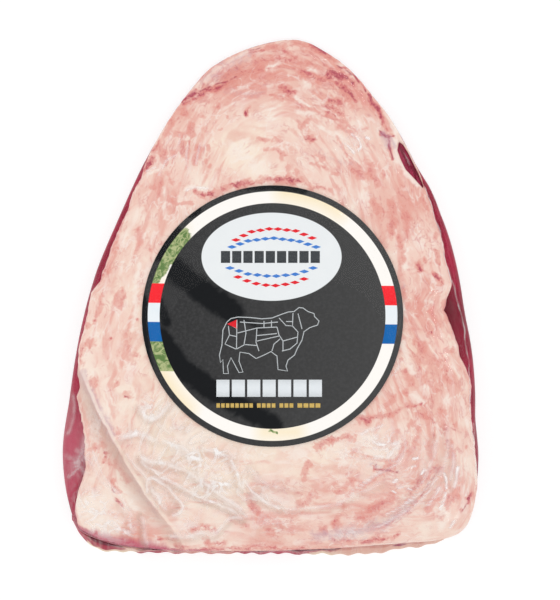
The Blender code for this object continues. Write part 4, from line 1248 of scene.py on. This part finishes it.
def make_lean():
    inner = [part * FAT_FOOT for part in (0.25, 0.6, 0.85, 0.95, 1.0)]
    rows = [ring(share, lean_top(share)) for share in inner]
    top_height = rows[-1][:, 2]
    for turn in quarter(17):
        share = FAT_FOOT + (LEAN_LIMIT - FAT_FOOT) * math.sin(turn)
        rows.append(ring(share, WIDEST + (top_height - WIDEST) * math.cos(turn)))
    rows += foot_rings(LEAN_LIMIT, WIDEST, LEAN_LOWEST, 15, np.linspace(1.0, 0.0, 36)[1:-1])
    rows = np.array(rows)
    flat = rows.reshape(-1, 3)
    side = np.clip((np.tile(WIDEST, len(rows)) - 1.0 - flat[:, 2]) / 4.0, 0, 1)
    side[:len(inner) * AROUND] = 0.0
    lumps = layered_noise(flat, 9.0, 21) - 0.5
    below = np.clip((np.arange(len(rows)) - len(inner)) / 6.0, 0, 1).repeat(AROUND)
    flat[:, 2] += lumps * np.where(flat[:, 2] < 2.0, 0.5, 0.8) * below
    x, y, height = flat.T
    height[:] = np.maximum(height, 0.35)
    across = np.hypot(rows[:, 0, 0], rows[:, 0, 1])
    run = np.concatenate(([0.0], np.cumsum(np.hypot(np.diff(across), np.diff(rows[:, 0, 2])))))
    under = np.clip(1.0 - (height - LEAN_LOWEST) / 3.0, 0, 1)
    lobe = patches(x, y, ((70, 430, 40, 0.7), (70, 480, 30, 0.5)))
    window = patches(x, y, ((450, 318, 18, 0.8), (460, 350, 14, 0.5), (446, 300, 12, 0.6)))
    streak = strokes(x, y, ((0.75, 1.0, 474.5, 424, 475.5, 440, 476.3, 470),)) * (1.0 - side)
    silver = np.maximum(0.03 + 0.3 * side + 0.3 * under, streak)
    region = np.stack([np.clip(lobe, 0, 1), np.clip(window, 0, 1), silver, side], -1)
    top = (*MIDDLE, float(seam(MIDDLE[1], 0.0)))
    return skin("lean_meat", top, rows, (*MIDDLE, LEAN_LOWEST), lean_material(), {
        "flow": ([0, 0, 40], unrolled(-np.broadcast_to(run[:, None], rows.shape[:2])), [0, 0, -400]),
        "region": (NOTHING, region, [0, 0, 0.7, 0]),
    })


def pulled_taut(lowest, rounds):
    """Film stretched over a surface: level between high places, never below the surface."""
    height = lowest.copy()
    for _ in range(rounds):
        mean = 0.25 * (np.roll(height, 1, 1) + np.roll(height, -1, 1))
        mean[1:-1] += 0.25 * (height[2:] + height[:-2])
        mean[0], mean[-1] = height[0], height[-1]
        height = np.maximum(lowest, mean)
    return height


def film_creases(x, y):
    """Listed creases: their height, the cloudiness on them, a painted glint on the short bright ones, and
    the painted shade to one side.
    """
    broken = np.clip(0.2 + 1.6 * lattice_noise(level_points(x, y), 2.6, 105), 0.3, 1.2)
    x, y = warped(x, y, 5.0, 0.7, 101)
    lifted, haze_and_glints, shade = np.zeros((3, len(x)))
    for lift, width, cloud_and_glint, dusk, *numbers in CREASES:
        away, side = nearest(curve_of(numbers), x, y)
        whole = min(width / 4.5, 1.0)
        patchy = broken * (1.0 - whole) + whole
        lifted = np.maximum(lifted, lift * np.exp(-((away / (width * PIXEL * 1.6)) ** 2)))
        # Cloudiness along the crease; on the short bright ones it is a painted glint
        haze_and_glints = np.maximum(haze_and_glints, cloud_and_glint * patchy * np.exp(-((away / (width * PIXEL * 1.2)) ** 2)))
        # Painted shade to one side of the crease
        shade = np.maximum(shade, dusk * np.exp(-(((away * side - 1.9) / 1.3) ** 2)))
    return lifted, haze_and_glints, shade


def make_film():
    shares = polar_grid(np.ones(AROUND), 4)
    x, y = place(ANGLES, shares)
    fat = fat_top(ANGLES, shares, RIM) + bare_lumps(x, y, shares)
    base = np.where(shares <= RIM, fat, lean_top(shares)) + FILM_GAP
    open_face = ramp((from_label(x, y) - LABEL_RADIUS - 0.4) / 1.5)
    base += FILM_GAP * open_face
    base[-1] = WIDEST
    heights = pulled_taut(base, 60)
    inwards = (1.0 - shares) * REACH
    fade = (open_face * ramp(inwards / 2.0)).ravel()
    x, y = x.ravel(), y.ravel()
    crease, haze_and_glints, shade = film_creases(x, y)
    slack = np.clip(0.05 + patches(x, y, SLACK), 0, 1)
    loose = np.clip(patches(x, y, LOOSE), 0, 1)
    # Clouded patches of the film, partly painted highlights
    veil_and_highlight = np.clip(0.005 + patches(x, y, VEILS_AND_HIGHLIGHTS), 0, 0.6)
    flow = unrolled(inwards)
    bent = flow + 2.0 * (np.stack([lattice_noise(flow, 7.0, seed) for seed in (111, 121, 131)], 1) - 0.5)
    facets = np.minimum(cell_edges(bent * (0.4, 0.4, 1.0), 6.0, 51), 0.7)
    small = np.minimum(cell_edges(bent * (0.5, 0.5, 1.0), 2.6, 55), 0.7)
    fold = 3.4 * layered_noise(bent * (0.8, 0.8, 1.0), 10.0, 57, 2) % 1.0
    crease += (0.5 * (0.35 - facets) + 0.12 * (0.35 - small)) * slack + 0.36 * (fold - 0.5) * loose
    haze_and_glints = np.maximum(haze_and_glints, 0.42 * fold**3.0 * loose)
    haze_and_glints = np.maximum(haze_and_glints, 0.14 * np.clip(1.0 - facets / 0.12, 0, 1) * slack)
    # Painted shade on the low side of each broad fold
    shade = np.maximum(shade, 0.2 * np.clip(1.0 - fold / 0.4, 0, 1) * loose)
    rows = [*ring(shares, heights + (crease * fade).reshape(heights.shape))]
    rows += foot_rings(1.0, rows[-1][:, 2], FILM_GAP, 11, (0.75, 0.5, 0.25))
    rows = np.array(rows)
    extra = len(rows) - len(shares)
    film = np.stack([
        np.concatenate((values * fade, np.full(extra * AROUND, hidden)))
        for values, hidden in ((haze_and_glints, 0.0), (slack, 0.12), (veil_and_highlight, 0.01), (shade, 0.0))
    ], -1)
    top = (*MIDDLE, float(fat_top(0.0, 0.0, 1.0)) + FILM_GAP)
    return skin("bag_film", top, rows, (*MIDDLE, FILM_GAP), film_material(), {
        "flow": ([0, 0, 90], unrolled(continued(inwards, 4.0, extra)), [0, 0, -90]),
        "film": (NOTHING, film, [0, 0.2, 0.05, 0]),
    })


def tail_line(x):
    """The folded end's middle line at each x: out along the floor, round the fold, up to its lip."""
    left, right = TAIL_EDGE[0][0], TAIL_EDGE[-1][0]
    phase = math.tau * x / TAIL_WAVE_LENGTH
    wave = TAIL_WAVE * (0.5 + 0.5 * np.sin(phase))
    half = TAIL_THICKNESS / 2
    outer = spline(TAIL_EDGE, x) + TAIL_SCALLOP * (1.0 + np.cos(TAIL_SCALLOPS_A_WAVE * phase)) + half
    lip = spline(TAIL_LIP, x)
    ends = ramp((x - left) / TAIL_ENDS_RUN) * ramp((right - x) / TAIL_ENDS_RUN)
    height = TAIL_HEIGHT_ENDS + (TAIL_HEIGHT - TAIL_HEIGHT_ENDS) * ends - half
    y, z = [TAIL_INNER_Y + 0 * x], [half + 0 * x]
    for inside, lifted in TAIL_FLOOR:
        y.append(outer + inside)
        z.append(half + wave * lifted)
    for inwards, upwards in TAIL_SIDE:
        y.append(outer + (lip - outer) * inwards + wave * math.sin(math.pi * upwards))
        z.append(half + height * upwards)
    return np.array(y), np.array(z)


def make_tail():
    """The bag's free end, folded up against the lean: a pleated strip with a scalloped fold."""
    x = np.linspace(TAIL_EDGE[0][0] + 0.2, TAIL_EDGE[-1][0] - 0.2, 620)
    y, z = (smooth_rows(rows, 34) for rows in tail_line(x))
    tucked = np.maximum(ramp((x - x[-1] + TUCK_RUN) / TUCK_RUN), ramp((x[0] + TUCK_RUN - x) / TUCK_RUN))
    y = y + TUCK * tucked**2
    forwards, upwards = np.gradient(y, axis=0), np.gradient(z, axis=0)
    length = np.hypot(forwards, upwards)
    width = np.broadcast_to(x, y.shape)
    points = np.stack([width, y, z], -1).reshape(-1, 3)
    pleats = layered_noise(points * (1.0, 0.25, 0.25), 3.0, 43, 2).reshape(y.shape) - 0.5
    bulge = 0.5 * pleats * ramp(np.linspace(0.0, 1.0, len(y))[:, None] * 2.0)
    near, far = (
        np.stack([width, y - upwards / length * off, z + forwards / length * off], -1)
        for off in (bulge - TAIL_HALF, bulge + TAIL_HALF)
    )
    sections = np.concatenate((near, far[::-1])).transpose(1, 0, 2)
    sections[..., 2] = np.maximum(sections[..., 2], 0.02)
    return skin("bag_tail", sections[0].mean(0), sections, sections[-1].mean(0), tail_material(), {})


def label_height(x, y):
    """Height of the label's upper face."""
    return fat_top(*polar(x, y), 1.0) + LABEL_GAP + LABEL_THICKNESS


def make_label():
    angles = math.tau * np.arange(480) / 480
    edge = [LABEL_RADIUS - inset for inset in (0.4, 0.15, 0.03, 0.0)]
    radii = np.concatenate((np.linspace(2.0, edge[0], 72), edge[1:]))[:, None]
    x = LABEL_MIDDLE[0] + radii * np.cos(angles)
    y = LABEL_MIDDLE[1] + radii * np.sin(angles)
    height = label_height(x, y) - PRINT_THICKNESS
    rounding = np.interp(radii, edge, (0.0, 0.03, 0.1, 0.22))
    upper = np.stack([x, y, height - rounding], -1)
    lower = np.stack([x, y, height - SHEET_THICKNESS], -1)[::-4]
    rows = np.concatenate((upper, lower))
    x, y = rows[..., 0].ravel(), rows[..., 1].ravel()
    reflections = np.stack([*(strokes(x, y, each) for each in (DARK_REFLECTIONS, GOLD_REFLECTIONS, GREEN_REFLECTIONS)), 0 * x], -1)
    centre = float(label_height(*LABEL_MIDDLE)) - PRINT_THICKNESS
    top, bottom = (*LABEL_MIDDLE, centre), (*LABEL_MIDDLE, centre - SHEET_THICKNESS)
    return skin("label_sheet", top, rows, bottom, label_material(), {"painted_reflections": (NOTHING, reflections, NOTHING)})


def print_tree(name, numbers, make_shape):
    """A geometry tree that makes curves of the lines it is given and a shape from them."""
    inputs = {"Geometry": "Geometry", **numbers, "Finish": "Material"}
    tree, given = new_tree(name, "GeometryNodeTree", inputs, {"Geometry": "Geometry"})
    shape = make_shape(output("GeometryNodeMeshToCurve", {0: given["Geometry"]}), given)
    whole = output("GeometryNodeRealizeInstances", {0: shape})
    coloured = output("GeometryNodeSetMaterial", {"Geometry": whole, "Material": given["Finish"]})
    node("NodeGroupOutput", {0: coloured})
    return tree


def ribbon(lines, given):
    """A flat ribbon along each line."""
    level = output("GeometryNodeSetCurveNormal", {0: lines}, mode="Z_UP")
    section = output("GeometryNodeCurvePrimitiveQuadrilateral", {0: given["Width"], 1: given["Thickness"]})
    return output("GeometryNodeCurveToMesh", {"Curve": level, "Profile Curve": section, "Fill Caps": True})


def lozenges(lines, given):
    """Small flat lozenges, evenly spaced along each line."""
    dots = output("GeometryNodeResampleCurve", {"Curve": lines, "Length": given["Spacing"]}, mode="LENGTH")
    shape = output("GeometryNodeMeshCylinder", {"Vertices": 4, "Radius": 0.5, "Depth": 1.0}, lines.tree)
    size = output("ShaderNodeCombineXYZ", {0: given["Length"], 1: given["Width"], 2: given["Thickness"]})
    return output("GeometryNodeInstanceOnPoints", {"Points": dots, "Instance": shape, "Scale": size})


def laid_on_label(name, tree, lines, finish, numbers):
    """Print made by a geometry tree along flat lines of pixels, then laid on the label's face."""
    points, edges = [], []
    for line in lines:
        pixels = np.array(line, float).reshape(-1, 2)
        for k, (start, end) in enumerate(zip(pixels, pixels[1:])):
            steps = max(int(np.hypot(*(end - start)) / PRINT_STEP), 1)
            for part in np.arange(0 if k == 0 else 1, steps + 1) / steps:
                if k or part:
                    edges.append((len(points) - 1, len(points)))
                points.append(start + (end - start) * part)
    x, y = seen(*np.array(points).T)
    mesh = bpy.data.meshes.new(name)
    mesh.from_pydata([(a * MM, b * MM, 0.0) for a, b in zip(x, y)], edges, [])
    piece = placed(name, mesh)
    modifier = piece.modifiers.new("print", "NODES")
    modifier.node_group = tree
    given = {key: number * MM for key, number in numbers.items()}
    given["Finish"] = finish
    for side in tree.interface.items_tree:
        if side.in_out == "INPUT" and side.name in given:
            modifier[side.identifier] = given[side.name]
    bpy.context.view_layer.update()
    made = bpy.data.meshes.new_from_object(piece.evaluated_get(bpy.context.evaluated_depsgraph_get()))
    piece.modifiers.clear()
    piece.data = made
    laid = np.empty(3 * len(made.vertices), np.float32)
    made.vertices.foreach_get("co", laid)
    laid = laid.reshape(-1, 3).astype(float)
    top = label_height(laid[:, 0] / MM, laid[:, 1] / MM) - PRINT_THICKNESS / 2 - PRINT_SUNK
    laid[:, 2] += top * MM
    made.vertices.foreach_set("co", laid.astype(np.float32).ravel())
    made.update()
    return piece


def bars(x, y, widths, gap):
    """A row of short level lines, starting at a pixel."""
    lines = []
    for width in widths:
        lines.append((x, y, x + width, y))
        x += width + gap
    return lines


def make_print():
    """The label's print: all plain shapes."""
    flat = PRINT_THICKNESS * MM
    line_tree = print_tree("Printed line", {"Width": 0.5 * MM, "Thickness": flat}, ribbon)
    lozenge_tree = print_tree("Row of lozenges", {
        "Length": 4.0 * MM, "Width": 2.0 * MM, "Thickness": flat, "Spacing": 5.0 * MM,
    }, lozenges)
    white, silver, gold, grey, red, blue = (
        plain_material(name + " print", srgb(first), srgb(second))
        for name, first, second in (
            ("Pale", "E9EDF0", "DFE5E9"), ("Line", "C9CDCF", "B9BEC1"), ("Gold", "D8BC72", "C9A654"),
            ("Grey", "3C4043", "474B4E"), ("Red", "F0202E", "DE2B34"), ("Blue", "1769C8", "5B93DA"),
        )
    )
    dashes = [dash for x, count, width in DASHES for dash in bars(x, 405.4, (width,) * count, 1.2)]
    pieces = []
    for name, lines, finish, width in (
        ("print_animal", ANIMAL, silver, 0.42), ("print_patch", RUMP_PATCH, red, 0.4),
        ("print_blocks", bars(216.5, 388.2, (13.0,) * 7, 2.4), white, 7.7),
        ("print_dashes", dashes, gold, 2.0), ("print_bar", bars(221, 257, (9.2,) * 9, 2.0), grey, 5.4),
    ):
        numbers = {"Width": width, "Thickness": PRINT_THICKNESS}
        pieces.append(laid_on_label(name, line_tree, lines, finish, numbers))
    small = {"Length": 4.6, "Width": 1.7, "Thickness": PRINT_THICKNESS, "Spacing": 3.9}
    for name, line, finish in (
        ("print_red_top", (236, 240, 250, 232, 272, 228.5, 296, 231, 312, 238), red),
        ("print_blue_top", (232, 247, 248, 241, 272, 238, 298, 241, 316, 247), blue),
        ("print_blue_low", (230, 268, 248, 274, 272, 276.5, 298, 274, 313, 268), blue),
        ("print_red_low", (238, 277, 252, 283, 272, 286, 292, 283.5, 304, 279), red),
    ):
        pieces.append(laid_on_label(name, lozenge_tree, [line], finish, small))
    return pieces


def make_stage():
    """A white sheet lit a little from below, as on a light table."""
    material = plain_material("Pale floor", (0.36, 0.36, 0.36), (0.38, 0.38, 0.38), 40.0, 3.0, 0.7)
    shader = material.node_tree.nodes["Principled BSDF"].inputs
    shader["Emission Color"].default_value = WHITE
    shader["Emission Strength"].default_value = 0.72
    mesh = bpy.data.meshes.new("floor")
    corners = [(FLOOR_HALF * x, FLOOR_HALF * y, 0) for x, y in ((-1, -1), (1, -1), (1, 1), (-1, 1))]
    mesh.from_pydata(corners, [], [(0, 1, 2, 3)])
    mesh.materials.append(material)
    placed("floor", mesh)


def soft_lamp(name, place_m, size, power, only_shine=False):
    """A round lamp aimed at the middle; a lamp that only shines makes highlights and no light."""
    lamp = bpy.data.lights.new(name, "AREA")
    lamp.shape = "DISK"
    lamp.size = size
    lamp.energy = power
    holder = placed(name, lamp)
    holder.location = place_m
    holder.rotation_euler = (-Vector(place_m)).to_track_quat("-Z", "Y").to_euler()
    holder.visible_diffuse = not only_shine
    holder.visible_glossy = only_shine


def make_light():
    world = bpy.data.worlds.new("studio")
    bpy.context.scene.world = world
    world.use_nodes = True
    sky = world.node_tree.nodes["Background"].inputs
    sky["Color"].default_value = WHITE
    sky["Strength"].default_value = 0.9
    soft_lamp("key", (0.3, 0.2, 1.35), 1.0, 1.7)
    soft_lamp("fill", (-1.0, 0.0, 0.9), 1.0, 1.0)
    for name, turn, up, power in SPARKLES:
        spot = (math.cos(turn) * math.cos(up), math.sin(turn) * math.cos(up), math.sin(up))
        soft_lamp(name, [SPARKLE_AWAY * part for part in spot], SPARKLE_SIZE, power, only_shine=True)


def make_camera():
    lens = bpy.data.cameras.new("camera")
    lens.lens = 200.0
    lens.sensor_width = 36.0
    camera = placed("camera", lens)
    camera.location = [value * MM for value in CAMERA_AT]
    bpy.context.scene.camera = camera


make_stage()
make_light()
make_camera()
bpy.context.scene.view_settings.view_transform = "Standard"

fat = make_fat()
lean = make_lean()
film = make_film()
tail = make_tail()
label = make_label()
prints = make_print()

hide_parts("fat_cap")
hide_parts("lean_muscle")
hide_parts("vacuum_bag")
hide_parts("label")
for piece in (fat, lean, film, tail, label, *prints):
    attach(piece, "root")
